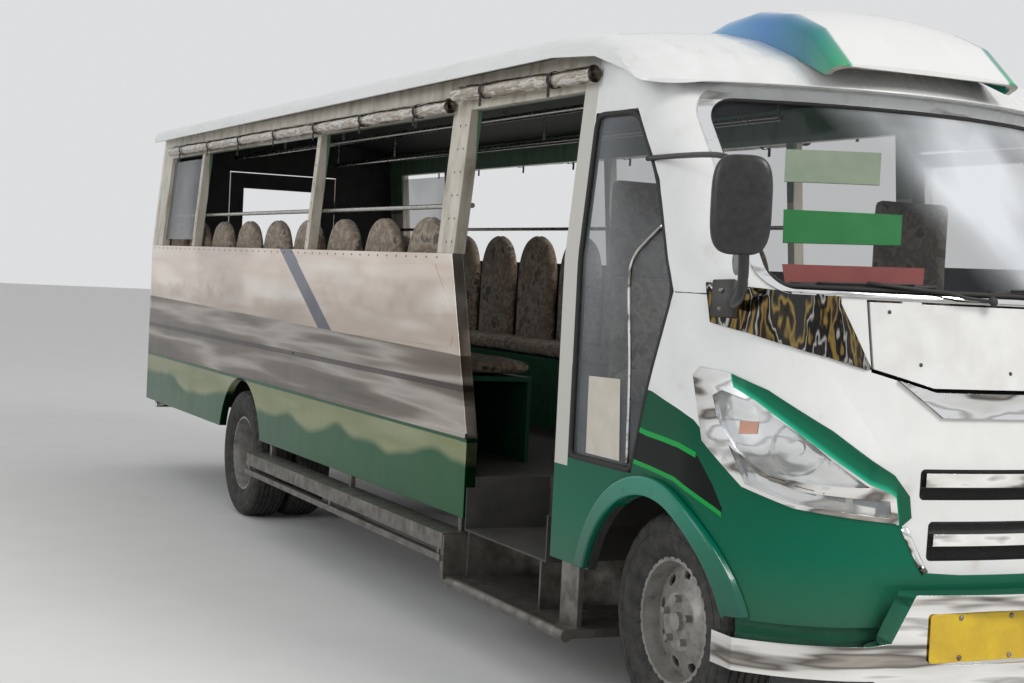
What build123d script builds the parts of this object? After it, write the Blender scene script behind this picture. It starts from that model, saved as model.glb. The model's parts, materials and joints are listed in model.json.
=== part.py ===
from build123d import *
import os

os.makedirs("parts", exist_ok=True)

# Side-entrance passenger jeepney, in millimetres.
# +X points to the front, +Y to the driver's side (left), +Z up.
# The origin is on the ground at the middle of the overall length.

# Overall sizes
LENGTH = 7380
FRONT_OVERHANG = 760
WHEELBASE = 4400
HALF_W = 850
LEAN = 0.084
BELT_Z = 1433
SILL_Z = 443
FLOOR_Z = 560
FLOOR_T = 40
WALL = 40
SKIN = 30
POST_T = 50
GAP = 0.3
SWING_GAP = 6
REAR_BUMPER_T = 60

AXLE_F = LENGTH / 2 - FRONT_OVERHANG
AXLE_R = AXLE_F - WHEELBASE
BODY_REAR = -LENGTH / 2 + REAR_BUMPER_T
DECK_Z = FLOOR_Z + FLOOR_T

# Reach of the blocks that cut: past either side, over the roof and ahead of the nose
SIDE_IN = HALF_W - 150
SIDE_OUT = HALF_W + 150
OVER = 2400
NOSE_X = AXLE_F + 900


def side_y(z):
    """Half width of the body at a height: upright to the belt, leaning in above it."""
    return HALF_W - LEAN * max(0, z - BELT_Z)


def block(x0, x1, y0, y1, z0, z1):
    """Box between two corners."""
    middle = Pos((x0 + x1) / 2, (y0 + y1) / 2, (z0 + z1) / 2)
    return middle * Box(abs(x1 - x0), abs(y1 - y0), abs(z1 - z0))


def slab_y(outline, y0, y1):
    """Side-view outline of (x, z) points, carried from y0 to y1."""
    wire = Polyline(*[(x, y0, z) for x, z in outline], close=True)
    return extrude(make_face(wire), amount=abs(y1 - y0), dir=(0, 1 if y1 > y0 else -1, 0))


def slab_x(outline, x0, x1):
    """Front-view outline of (y, z) points, carried from x0 to x1."""
    wire = Polyline(*[(x0, y, z) for y, z in outline], close=True)
    return extrude(make_face(wire), amount=abs(x1 - x0), dir=(1 if x1 > x0 else -1, 0, 0))


def rod(start, end, radius):
    """Round bar from one point to another."""
    a = Vector(*start)
    b = Vector(*end)
    line = Plane(origin=a, z_dir=(b - a).normalized())
    return line * Cylinder(radius, (b - a).length, align=(Align.CENTER, Align.CENTER, Align.MIN))


def drum_y(x, z, radius, y0, y1):
    """Round disc about a line along Y."""
    return rod((x, min(y0, y1), z), (x, max(y0, y1), z), radius)


def flip(shape):
    """The same shape on the other side of the body."""
    return mirror(shape, about=Plane.XZ)


def leaning(x0, x1, z0, z1, out, thick):
    """Bar along the left side above the belt, following its lean."""
    return slab_x([(side_y(z0) + out, z0), (side_y(z1) + out, z1), (side_y(z1) + out - thick, z1),
                   (side_y(z0) + out - thick, z0)], x0, x1)


def join(shapes):
    """Several solids fused into one shape."""
    total = shapes[0]
    for shape in shapes[1:]:
        total = total + shape
    return total


def save(name, *shapes):
    """One STEP file per node, holding one or more solids."""
    solids = [solid for shape in shapes for solid in shape.solids()]
    whole = solids[0] if len(solids) == 1 else Compound(children=solids)
    whole.label = name
    export_step(whole, "parts/" + name + ".step")


# Wheels and tyres
TYRE_R = 335
TYRE_W = 195
RIM_R = 208
BEAD_R = 190
RIM_W = 150
RIM_T = 6
DISC_T = 8
HUB_R = 112
BORE_R = 28
AXLE_Z = TYRE_R
TRACK_F = HALF_W - 180
DUAL_OUT = HALF_W - 108
DUAL_IN = DUAL_OUT - 215
VENT_N = 9
VENT_PCR = 143
VENT_R = 14
VENT_L = 16
LUG_N = 5
LUG_PCR = 70
LUG_R = 11
LUG_H = 22
SPINDLE_R = 30
RUN_GAP = 0.05
HUB_DRUM_R = 54
WELL_DEPTH = 8


def tyre():
    """Tyre about the Y axis, its sidewalls bulged past the rim."""
    half = TYRE_W / 2
    seat = RIM_W / 2 - RIM_T - GAP
    side = [(BEAD_R + GAP, seat), (RIM_R + GAP, seat), (RIM_R + 8, half - 12), (TYRE_R - 60, half),
            (TYRE_R - 18, half - 10), (TYRE_R - 4, half - 34), (TYRE_R, 30)]
    outline = side + [(r, -y) for r, y in reversed(side)]
    return revolve(make_face(Polyline(*outline, close=True)), Axis.Y)


def rim(disc_y, dish):
    """Steel rim about the Y axis; its disc face is at disc_y and falls back by dish to the well."""
    half = RIM_W / 2
    well = BEAD_R - WELL_DEPTH
    barrel = revolve(make_face(Polyline(
        (BEAD_R - RIM_T, -half), (RIM_R, -half), (RIM_R, -half + RIM_T), (BEAD_R, -half + RIM_T),
        (well, -half + 40), (well, half - 40), (BEAD_R, half - RIM_T), (RIM_R, half - RIM_T),
        (RIM_R, half), (BEAD_R - RIM_T, half), (well - RIM_T, half - 34), (well - RIM_T, -half + 34),
        close=True)), Axis.Y)
    foot = disc_y - dish
    disc = revolve(make_face(Polyline(
        (BORE_R, disc_y - DISC_T), (HUB_R - 30, disc_y - DISC_T), (HUB_R, foot + 6),
        (well - RIM_T + 1, foot - DISC_T), (well - RIM_T + 1, foot), (HUB_R + 8, foot + 6 + DISC_T),
        (HUB_R - 22, disc_y), (BORE_R, disc_y), close=True)), Axis.Y)
    whole = barrel + disc
    slot = Plane.XZ * SlotOverall(2 * VENT_R + VENT_L, 2 * VENT_R)
    vent = Pos(0, foot, VENT_PCR) * extrude(slot, amount=30, both=True)
    for i in range(VENT_N):
        whole = whole - Rot(Y=i * 360 / VENT_N) * vent
    return whole


def hub(disc_y, length, nose):
    """Hub drum behind the disc, its cap and lugs in front, a running bore for the spindle."""
    back = disc_y - DISC_T
    whole = drum_y(0, 0, HUB_DRUM_R, back - length, back) + drum_y(0, 0, BORE_R, back - 2, disc_y + nose)
    for i in range(LUG_N):
        stud = drum_y(0, LUG_PCR, LUG_R, back, disc_y + LUG_H)
        whole = whole + Rot(Y=i * 360 / LUG_N) * stud
    return whole - drum_y(0, 0, SPINDLE_R + RUN_GAP, back - length - 1, back - 6)


DISC_F = 52
DISH_F = 34
HUB_L_F = 62
front_tyre = Pos(AXLE_F, TRACK_F, AXLE_Z) * tyre()
front_rim = Pos(AXLE_F, TRACK_F, AXLE_Z) * (rim(DISC_F, DISH_F) + hub(DISC_F, HUB_L_F, 16))
save("tyre_front_left", front_tyre)
save("tyre_front_right", flip(front_tyre))
save("rim_front_left", front_rim)
save("rim_front_right", flip(front_rim))

# Twin rear wheels: two rims back to back on one hub
DISH_R = 70
HUB_L_R = 100
disc_off = (DUAL_OUT - DUAL_IN) / 2
disc_plane = (DUAL_OUT + DUAL_IN) / 2
inner_rim = Pos(0, DUAL_IN, 0) * rim(disc_off, DISH_R)
outer_rim = Pos(0, DUAL_OUT, 0) * flip(rim(disc_off, DISH_R))
rear_hub = Pos(0, disc_plane, 0) * (hub(0, HUB_L_R, 60) + drum_y(0, 0, BORE_R, -DISC_T, 40))
rear_rims = Pos(AXLE_R, 0, AXLE_Z) * (inner_rim + outer_rim + rear_hub)
rear_tyres = [Pos(AXLE_R, y, AXLE_Z) * tyre() for y in (DUAL_OUT, DUAL_IN)]
save("tyres_rear_left", *rear_tyres)
save("tyres_rear_right", *[flip(shape) for shape in rear_tyres])
save("rims_rear_left", rear_rims)
save("rims_rear_right", flip(rear_rims))

# Chassis: two rails, cross members and the outriggers that carry the body sides
RAIL_OUT = 360
RAIL_IN = 300
RAIL_Z0 = 420
CROSS_Z0 = 515
RAIL_T = 8
RAIL_FRONT = AXLE_F + 520
ARM_END = AXLE_F + 700
ARM_DROP = 60
PAD_L = 100
PAD_T = 8
PAD_X = [AXLE_F - 800, AXLE_R - 800]
CROSS_X = [RAIL_FRONT - 60, AXLE_F - 1000, AXLE_F - 2000, AXLE_F - 3000, AXLE_R - 700, BODY_REAR + 100]
ARM_X = [AXLE_F - 600, AXLE_F - 1480, AXLE_F - 2300, AXLE_F - 3300, AXLE_R - 900, BODY_REAR + 200]
rail = block(BODY_REAR + WALL, RAIL_FRONT, RAIL_IN, RAIL_OUT, RAIL_Z0, FLOOR_Z)
rail = rail - block(BODY_REAR - 1, RAIL_FRONT + 1, RAIL_IN - 1, RAIL_OUT - RAIL_T, RAIL_Z0 + RAIL_T,
                    FLOOR_Z - RAIL_T)
cross = [block(x - 30, x + 30, -RAIL_OUT + 4, RAIL_OUT - 4, CROSS_Z0, FLOOR_Z - 4) for x in CROSS_X]
arms = [block(x - 30, x + 30, RAIL_OUT - 4, HALF_W - WALL - GAP, FLOOR_Z - 60, FLOOR_Z) for x in ARM_X]
bumper_arm = block(AXLE_F + 420, ARM_END, RAIL_IN, RAIL_OUT, RAIL_Z0 - ARM_DROP, RAIL_Z0 + RAIL_T)
jack_pads = [block(x - PAD_L / 2, x + PAD_L / 2, RAIL_IN + 4, RAIL_OUT - 4, RAIL_Z0 - PAD_T, RAIL_Z0 + 1)
             for x in PAD_X]
half_frame = join([rail, bumper_arm] + arms + jack_pads)
save("chassis_frame", join([half_frame, flip(half_frame)] + cross))

# Front axle: dropped beam with kingpins, on leaf springs under the rails
KNUCKLE_Y = TRACK_F - 70
KNUCKLE_R = 36
KNUCKLE_H = 100
KINGPIN_R = 14
EAR_T = 24
BEAM_Z1 = 352
BEAM_H = 64
BEAM_HALF = 32
SPRING_W = 56
SPRING_Y = (RAIL_OUT + RAIL_IN) / 2
SPRING_REACH_F = 370
SPRING_REACH_R = 600
LEAF_T = 26


def leaf_spring(x_mid, reach, seat_z):
    """Curved leaf pack on its seat, with an eye and hanger up to the rail at each end."""
    y0 = SPRING_Y - SPRING_W / 2
    eye_z = RAIL_Z0 - 8
    top = ThreePointArc((x_mid - reach, y0, eye_z), (x_mid, y0, seat_z + LEAF_T), (x_mid + reach, y0, eye_z))
    low = ThreePointArc((x_mid + reach, y0, eye_z - 8), (x_mid, y0, seat_z), (x_mid - reach, y0, eye_z - 8))
    face = make_face([top, Line(top @ 1, low @ 0), low, Line(low @ 1, top @ 0)])
    leaf = extrude(face, amount=SPRING_W, dir=(0, 1, 0))
    ends = [block(x_mid + s * reach - 16, x_mid + s * reach + 16, y0, y0 + SPRING_W, eye_z - 10, RAIL_Z0 - GAP)
            for s in (-1, 1)]
    return join([leaf] + ends)


fork = block(AXLE_F - BEAM_HALF, AXLE_F + BEAM_HALF, KNUCKLE_Y - 84, KNUCKLE_Y + 20,
             AXLE_Z - KNUCKLE_H / 2 - EAR_T, AXLE_Z + KNUCKLE_H / 2 + EAR_T)
fork = fork - block(AXLE_F - 60, AXLE_F + 60, KNUCKLE_Y - 54, KNUCKLE_Y + 60,
                    AXLE_Z - KNUCKLE_H / 2 - 1, AXLE_Z + KNUCKLE_H / 2 + 1)
kingpin = rod((AXLE_F, KNUCKLE_Y, AXLE_Z - KNUCKLE_H / 2 - EAR_T),
              (AXLE_F, KNUCKLE_Y, AXLE_Z + KNUCKLE_H / 2 + EAR_T), KINGPIN_R)
beam = block(AXLE_F - BEAM_HALF, AXLE_F + BEAM_HALF, -KNUCKLE_Y + 80, KNUCKLE_Y - 80, BEAM_Z1 - BEAM_H, BEAM_Z1)
front_leaf = leaf_spring(AXLE_F, SPRING_REACH_F, BEAM_Z1 - 2)
save("front_axle", join([beam, fork, flip(fork), kingpin, flip(kingpin), front_leaf, flip(front_leaf)]))

hub_back = TRACK_F + DISC_F - DISC_T - HUB_L_F
knuckle = join([
    rod((AXLE_F, KNUCKLE_Y, AXLE_Z - KNUCKLE_H / 2), (AXLE_F, KNUCKLE_Y, AXLE_Z + KNUCKLE_H / 2), KNUCKLE_R),
    drum_y(AXLE_F, AXLE_Z, SPINDLE_R + 10, KNUCKLE_Y, hub_back - 1),
    drum_y(AXLE_F, AXLE_Z, SPINDLE_R, KNUCKLE_Y, hub_back + HUB_L_F - 8),
])
knuckle = knuckle - rod((AXLE_F, KNUCKLE_Y, AXLE_Z - KNUCKLE_H), (AXLE_F, KNUCKLE_Y, AXLE_Z + KNUCKLE_H),
                        KINGPIN_R + RUN_GAP)
save("knuckle_left", knuckle)
save("knuckle_right", flip(knuckle))

# Rear axle: housing with final drive, stub ends in the hubs, springs, and the drive shaft to the engine
ENGINE_X0 = AXLE_F - 900
ENGINE_X1 = AXLE_F - 130
ENGINE_Z0 = 420
ENGINE_Z1 = 960
ENGINE_HALF_W = 225
DIFF_R = 140
TUBE_R = 44
SHAFT_R = 36
rear_back = disc_plane - DISC_T - HUB_L_R
housing = join([
    drum_y(AXLE_R, AXLE_Z, TUBE_R, -rear_back + 2, rear_back - 2),
    drum_y(AXLE_R, AXLE_Z, SPINDLE_R, -disc_plane + DISC_T + 8, disc_plane - DISC_T - 8),
    Pos(AXLE_R, 0, AXLE_Z) * Sphere(DIFF_R),
    rod((AXLE_R, 0, AXLE_Z), (ENGINE_X0 - 2, 0, ENGINE_Z0 + 40), SHAFT_R),
])
rear_leaf = leaf_spring(AXLE_R, SPRING_REACH_R, AXLE_Z + TUBE_R - 6)
save("rear_axle", join([housing, rear_leaf, flip(rear_leaf)]))
engine = block(ENGINE_X0, ENGINE_X1, -ENGINE_HALF_W, ENGINE_HALF_W, ENGINE_Z0, ENGINE_Z1)
flange_top = RAIL_Z0 + RAIL_T + GAP
for x in (ENGINE_X0 + 120, ENGINE_X1 - 160):
    engine = engine + block(x - 35, x + 35, -RAIL_IN - 30, RAIL_IN + 30, flange_top, flange_top + 18)
save("engine", engine)

# Exhaust and fuel tank under the floor
PIPE_R = 22
PIPE_Y = -250
PIPE_Z = 470
MUFFLER_R = 48
exhaust = join([
    rod((ENGINE_X0 + 200, -ENGINE_HALF_W - PIPE_R - GAP, PIPE_Z), (BODY_REAR + 70, PIPE_Y, PIPE_Z), PIPE_R),
    rod((AXLE_F - 2850, PIPE_Y, PIPE_Z), (AXLE_F - 2150, PIPE_Y, PIPE_Z), MUFFLER_R),
])
save("exhaust", exhaust)
save("fuel_tank", block(AXLE_F - 3000, AXLE_F - 2200, RAIL_OUT + GAP, 740, 250, FLOOR_Z - 60 - GAP))

# Roof: a crowned shell with a rounded shoulder over its drip edge, falling to the windshield at the front
ROOF_T = 28
ROOF_EDGE_IN = 10
LIP_H = 22
SHOULDER = 80
ROOF_BASE = 1500
ROOF_END = BODY_REAR - AXLE_F - 8
ROOF_RINGS = [
    # x from the front axle, reach past the side, edge height, crown height
    (ROOF_END, 12, 2095, 2225),
    (-800, 12, 2105, 2240),
    (-480, 12, 2082, 2215),
    (-280, 6, 2022, 2176),
    (-110, 0, 1945, 2120),
    (120, 0, 1850, 2030),
]


def under_arc(row):
    """Underside of the roof at one ring."""
    ahead, over, edge, crown = row
    x = AXLE_F + ahead
    y = HALF_W + over - ROOF_EDGE_IN
    return ThreePointArc((x, y, edge), (x, 0, crown - ROOF_T), (x, -y, edge))


def roof_over(row):
    """Outer line of the roof at one ring: lip, shoulder, crown, shoulder and lip."""
    ahead, over, edge, crown = row
    x = AXLE_F + ahead
    half = HALF_W + over
    lip, top = edge + LIP_H, edge + SHOULDER
    bend_y, bend_z = half - 0.39 * SHOULDER, edge + 0.8 * SHOULDER
    return [
        Line((x, -half, edge), (x, -half, lip)),
        ThreePointArc((x, -half, lip), (x, -bend_y, bend_z), (x, -half + SHOULDER, top)),
        ThreePointArc((x, -half + SHOULDER, top), (x, 0, crown), (x, half - SHOULDER, top)),
        ThreePointArc((x, half - SHOULDER, top), (x, bend_y, bend_z), (x, half, lip)),
        Line((x, half, lip), (x, half, edge)),
    ]


def roof_ring(row):
    """Cross-section of the roof shell."""
    over = roof_over(row)
    under = under_arc(row)
    return make_face(over + [Line(over[-1] @ 1, under @ 0), under, Line(under @ 1, over[0] @ 0)])


def roof_block(row):
    """Everything below the roof's outer line at one ring."""
    over = roof_over(row)
    a, b = over[-1] @ 1, over[0] @ 0
    down = Polyline((a.X, a.Y, a.Z), (a.X, a.Y, ROOF_BASE), (b.X, b.Y, ROOF_BASE), (b.X, b.Y, b.Z))
    return make_face(over + [down])


def sky_ring(row):
    """Everything above the roof's underside, used to trim what meets the roof."""
    under = under_arc(row)
    a = under @ 1
    b = under @ 0
    cap = Polyline((a.X, a.Y, a.Z), (a.X, a.Y, OVER + 600), (b.X, b.Y, OVER + 600), (b.X, b.Y, b.Z))
    return make_face([under, cap])


def plan_ring(z, half, row, back):
    """Plan outline at one height: straight sides, rounded corners and a bowed nose."""
    start, mx, my, cx, cy, nose = row
    a = AXLE_F
    edges = [
        Line((a + back, -half, z), (a + start, -half, z)),
        ThreePointArc((a + start, -half, z), (a + mx, -my, z), (a + cx, -cy, z)),
        ThreePointArc((a + cx, -cy, z), (a + nose, 0, z), (a + cx, cy, z)),
        ThreePointArc((a + cx, cy, z), (a + mx, my, z), (a + start, half, z)),
        Line((a + start, half, z), (a + back, half, z)),
        Line((a + back, half, z), (a + back, -half, z)),
    ]
    return make_face(edges)


BROW_PLAN = [
    # height, corner start x, corner middle x and inset, corner end x and inset, nose x
    (1800, -215, -120, 50, -60, 150, 125),
    (1990, -240, -140, 60, -85, 160, 112),
    (2060, -330, -215, 90, -150, 200, 20),
    (2250, -636, -495, 121, -414, 232, -350),
]
BROW_OUT = 20


def brow_ring(row):
    """Plan outline of the roof at one height, bowed at its front edge."""
    z, start, mx, m_in, cx, c_in, nose = row
    return plan_ring(z, HALF_W + BROW_OUT, (start, mx, HALF_W - m_in, cx, HALF_W - c_in, nose), ROOF_END - 10)


# Front body: rings at rising heights make the mask from bumper level to the roof
BODY_RINGS = [
    # height, corner start x, corner middle x and inset, corner end x and inset, nose x
    (430, 200, 470, 120, 600, 420, 640),
    (900, 180, 480, 130, 610, 420, 650),
    (1360, 100, 290, 45, 400, 135, 560),
    (BELT_Z, 54, 233, 47, 337, 139, 501),
    (1950, -270, -170, 46, -110, 126, 80),
    (2250, -458, -356, 41, -369, 119, -190),
]
BODY_BACK = -640
PANEL_BACK = -1000


def body_ring(row, inset, back):
    """Plan outline of the front body at one height, moved inwards by inset."""
    z, start, mx, m_in, cx, c_in, nose = row
    side = side_y(z)
    corner = (start, mx - 0.7 * inset, side - m_in - 0.7 * inset, cx - 0.85 * inset, side - c_in - 0.4 * inset,
              nose - inset)
    return plan_ring(z, side - inset, corner, back)


def body_form(inset, back=BODY_BACK):
    """Solid form of the front body, moved inwards by inset."""
    return loft([body_ring(row, inset, back) for row in BODY_RINGS], ruled=True)


def skin(outer, inner, back=BODY_BACK):
    """Layer of the front body between two insets."""
    return body_form(outer, back) - body_form(inner, back - 60)


def ahead(points):
    """Side-view points measured from the front axle."""
    return [(AXLE_F + x, z) for x, z in points]


def grown(points, amount):
    """Outline of points moved outwards from their middle box by about amount."""
    xs = [p[0] for p in points]
    zs = [p[1] for p in points]
    mx, mz = (min(xs) + max(xs)) / 2, (min(zs) + max(zs)) / 2
    kx = 1 + 2 * amount / (max(xs) - min(xs))
    kz = 1 + 2 * amount / (max(zs) - min(zs))
    return [(mx + (x - mx) * kx, mz + (z - mz) * kz) for x, z in points]


def rounded_pane(frame, amount, x0, x1):
    """Rounded four-sided outline seen from the front, grown by amount and carried from x0 to x1."""
    low_in, top_in, z0, z1, low_r, top_r = frame
    low_y, top_y = HALF_W - low_in + amount, HALF_W - top_in + amount
    corners = [(x0, -low_y, z0 - amount), (x0, -top_y, z1 + amount), (x0, top_y, z1 + amount), (x0, low_y, z0 - amount)]
    wire = FilletPolyline(*corners, radius=[low_r, top_r, top_r, low_r], close=True)
    return extrude(make_face(wire), amount=x1 - x0, dir=(1, 0, 0))


ARCH_R = 385
ARCH_X = AXLE_F + 8
FLARE_R = 445
# Windshield opening and its surround: insets of foot and top from the side, heights, corner radii
WS_OPEN = (130, 170, 1364, 1938, 60, 90)
WS_RIM = (104, 143, 1350, 1976, 75, 110)
SIDE_WINDOW = ahead([(-540, 775), (-540, 1905), (-262, 1905), (-75, 1675), (82, 1340), (-40, 1052), (-120, 775)])
DOOR = ahead([(-900, 500), (-900, 1900), (-266, 1900), (-75, 1675), (60, 1345), (60, 830), (-120, 830),
              (-330, 700), (-445, 500)])
DOOR_WINDOW = ahead([(-840, 1470), (-840, 1850), (-300, 1850), (-130, 1650), (-40, 1470)])
LID = [(-456, 1150), (-456, 1338), (456, 1338), (456, 1150), (396, 1134), (280, 1102), (-280, 1102), (-396, 1134)]
LID_OPEN = [(-464, 1141), (-464, 1344), (464, 1344), (464, 1141), (398, 1123), (281, 1091), (-281, 1091), (-398, 1123)]
LID_T = 12
GRILLE_SLOTS = [
    # low edge, high edge, low and high edge of the chrome bar, half width
    (791, 878, 828, 867, 340),
    (618, 730, 661, 695, 305),
]
SLOT_R = 14

# Headlamp outlines as (distance along the corner, height): surround, upper lens and lower strip
LAMP = [(-452, 1104), (-430, 1128), (-337, 1120), (-216, 1078), (-29, 975), (136, 859), (177, 800),
        (184, 740), (160, 716), (143, 723), (-120, 756), (-272, 803), (-406, 918)]
LENS = [(-380, 1050), (-351, 1068), (-270, 1046), (-117, 963), (78, 822), (-60, 826), (-197, 842), (-288, 899),
        (-357, 982)]
STRIP = [(-318, 916), (-221, 840), (-107, 804), (128, 786), (134, 738), (-120, 770), (-262, 812)]
LAMP_X = 60
LAMP_IN = 790


def lamp_slab(points, ease=0):
    """Lamp outline, eased outwards, carried diagonally through the right corner."""
    k = 0.70711
    wire = Polyline(*[(AXLE_F + LAMP_X + t * k, t * k - (HALF_W - LAMP_IN), z) for t, z in points], close=True)
    face = make_face(wire)
    if ease:
        face = offset(face, amount=ease, kind=Kind.INTERSECTION)
    block_ahead = block(AXLE_F, NOSE_X, -SIDE_OUT, -200, 600, 1300)
    return extrude(face, amount=900, both=True, dir=(k, -k, 0)) & block_ahead


sky = loft([sky_ring(row) for row in ROOF_RINGS], ruled=True)
under_roof = loft([roof_block(row) for row in ROOF_RINGS], ruled=True)
roof_plan = loft([brow_ring(row) for row in BROW_PLAN], ruled=True)
BROW_Z = WS_RIM[3] + 9
BROW_HALF = HALF_W - 130
roof = loft([roof_ring(row) for row in ROOF_RINGS], ruled=True) & roof_plan
brow = under_roof & roof_plan & block(AXLE_F - 100, AXLE_F + 300, -BROW_HALF, BROW_HALF, BROW_Z, OVER)
roof = roof + (brow - body_form(-GAP))
save("roof", roof)

# Roof scoop: a low bowed hood over the windshield, open to the front
SCOOP_RINGS = [
    # x from the front axle, height at the side, height in the middle
    (-690, 2218, 2236),
    (-520, 2254, 2286),
    (-340, 2266, 2300),
    (-150, 2237, 2268),
    (0, 2176, 2204),
    (145, 2053, 2062),
]
SCOOP_MOUTH = (185, 2019, 2028)
SCOOP_HALF = 360
SCOOP_T = 20
SCOOP_R = 45
SCOOP_BASE = 1900
SCOOP_JAW = ahead([(60, SCOOP_BASE), (60, 2012), (SCOOP_RINGS[-1][0], 2046), (400, 2046), (400, SCOOP_BASE)])


def scoop_ring(row, inset):
    """Cross-section of the scoop down into the roof, moved inwards by inset."""
    x, side, crown = AXLE_F + row[0], row[1] - inset, row[2] - inset
    half, bend = SCOOP_HALF - inset, 0.29 * SCOOP_R
    sill = Polyline((x, half, side - SCOOP_R), (x, half, SCOOP_BASE), (x, -half, SCOOP_BASE), (x, -half, side - SCOOP_R))
    return make_face([
        sill,
        ThreePointArc((x, -half, side - SCOOP_R), (x, -half + bend, side - bend), (x, -half + SCOOP_R, side)),
        ThreePointArc((x, -half + SCOOP_R, side), (x, 0, crown), (x, half - SCOOP_R, side)),
        ThreePointArc((x, half - SCOOP_R, side), (x, half - bend, side - bend), (x, half, side - SCOOP_R)),
    ])


scoop_out = loft([scoop_ring(row, 0) for row in SCOOP_RINGS], ruled=True)
hollow_rows = [(SCOOP_RINGS[0][0] + SCOOP_T,) + SCOOP_RINGS[0][1:]] + SCOOP_RINGS[1:] + [SCOOP_MOUTH]
scoop_in = loft([scoop_ring(row, SCOOP_T) for row in hollow_rows], ruled=True)
scoop = scoop_out - scoop_in - under_roof - slab_y(SCOOP_JAW, -SIDE_OUT, SIDE_OUT)
save("roof_scoop", scoop)

front = skin(0, SKIN)
arch_cut = drum_y(ARCH_X, AXLE_Z, ARCH_R, SIDE_IN - 100, SIDE_OUT)
front = front - arch_cut - flip(arch_cut)
front = front - rounded_pane(WS_OPEN, 0, AXLE_F - 140, NOSE_X)
front = front - slab_y(SIDE_WINDOW, -SIDE_OUT, -SIDE_IN)
front = front - slab_y(grown(DOOR, SWING_GAP), SIDE_IN, SIDE_OUT)
lid_clear = slab_x(LID_OPEN, AXLE_F + 200, NOSE_X)
front = front - lid_clear


def slot_view(half, low, high):
    """Grille opening seen from the front, its corners rounded."""
    x = AXLE_F + 450
    corners = [(x, -half, low), (x, -half, high), (x, half, high), (x, half, low)]
    wire = FilletPolyline(*corners, radius=SLOT_R, close=True)
    return extrude(make_face(wire), amount=NOSE_X - x, dir=(1, 0, 0))


for low, high, bar0, bar1, half in GRILLE_SLOTS:
    front = front - slot_view(half, low, high)
lamp_open = lamp_slab(LAMP)
front = front - lamp_open - flip(lamp_open) - sky
save("front_body", front)

# Chrome windshield surround and the mirror-bright corner panels below it
TRIM_T = 6
CORNER_TRIM = ahead([(232, 1372), (258, 1258), (366, 1234), (446, 1204), (497, 1177), (537, 1148), (478, 1329),
                     (474, 1352), (380, 1362)])
trim_skin = skin(-TRIM_T, 0)
ws_open_view = rounded_pane(WS_OPEN, 0, AXLE_F - 300, NOSE_X + 1)
ws_frame = trim_skin & (rounded_pane(WS_RIM, 0, AXLE_F - 260, NOSE_X) - ws_open_view)
ws_frame = ws_frame - sky - roof
corner_trim = trim_skin & slab_y(CORNER_TRIM, -SIDE_OUT, -380)
corner_trim = corner_trim - rounded_pane(WS_RIM, 0, AXLE_F - 260, NOSE_X) - lid_clear - lamp_open
save("windshield_frame", ws_frame, corner_trim, flip(corner_trim))

# Glass: windshield, fixed side window of the cab, and the panes of the rear quarter windows
GLASS_T = 6
GLASS_IN = 12
glass_skin = skin(GLASS_IN, GLASS_IN + GLASS_T)
windshield = glass_skin & rounded_pane(WS_OPEN, -GAP, AXLE_F - 240, NOSE_X)
side_pane = glass_skin & slab_y(grown(SIDE_WINDOW, -GAP), -SIDE_OUT, -SIDE_IN)
side_pane = side_pane - rounded_pane(WS_OPEN, 0, AXLE_F - 240, NOSE_X)
PANE_Z0, PANE_Z1 = 1475, 1960
PANE_X0, PANE_X1 = BODY_REAR + 260, AXLE_F - 5560
rear_pane = leaning(PANE_X0 + GAP, PANE_X1 - GAP, PANE_Z0, PANE_Z1, -20, GLASS_T)
save("window_glass", windshield, side_pane, rear_pane, flip(rear_pane))

# Front lid under the windshield, hinged along its top edge
LID_TOP = LID[1][1]
LID_HINGE_Y = 300
LID_HINGE_W = 60
lid_view = slab_x(LID, AXLE_F + 200, NOSE_X)
hinge_view = block(AXLE_F + 200, NOSE_X, LID_HINGE_Y, LID_HINGE_Y + LID_HINGE_W, LID_TOP - 10,
                   LID_TOP + SWING_GAP - GAP)
front_lid = skin(0, LID_T) & (lid_view + hinge_view + flip(hinge_view))
save("front_lid", front_lid)

# Headlamps: bezels with a deep pocket and a ringed reflector, and clear lenses over the pockets
BOWL_DEPTH = 62
POCKET_DEPTH = 46
LENS_OUT = 2
LENS_T = 5
RING_R = 80
RING_T = 7
BULB_R = 20
RING_AT = (-125, 922)
pockets = lamp_slab(LENS) + lamp_slab(STRIP)
bezel = skin(-4, BOWL_DEPTH) & lamp_slab(LAMP, -GAP)
bezel = bezel - (skin(-5, POCKET_DEPTH) & pockets)
ring_x = AXLE_F + LAMP_X + RING_AT[0] * 0.70711
ring_y = RING_AT[0] * 0.70711 - (HALF_W - LAMP_IN)
ring_a = (ring_x, ring_y, RING_AT[1])
ring_b = (ring_x + 600, ring_y - 600, RING_AT[1])
ring_form = rod(ring_a, ring_b, RING_R) - rod(ring_a, ring_b, RING_R - RING_T) + rod(ring_a, ring_b, BULB_R)
bezel = bezel + (skin(16, BOWL_DEPTH) & ring_form & lamp_slab(LENS, -1))
lens_skin = skin(-LENS_OUT, LENS_T - LENS_OUT)
lens = lens_skin & lamp_slab(LENS, -GAP)
strip_lens = lens_skin & lamp_slab(STRIP, -GAP)
save("headlamp_bowls", bezel, flip(bezel))
save("headlamp_lenses", lens, strip_lens, flip(lens), flip(strip_lens))

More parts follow.
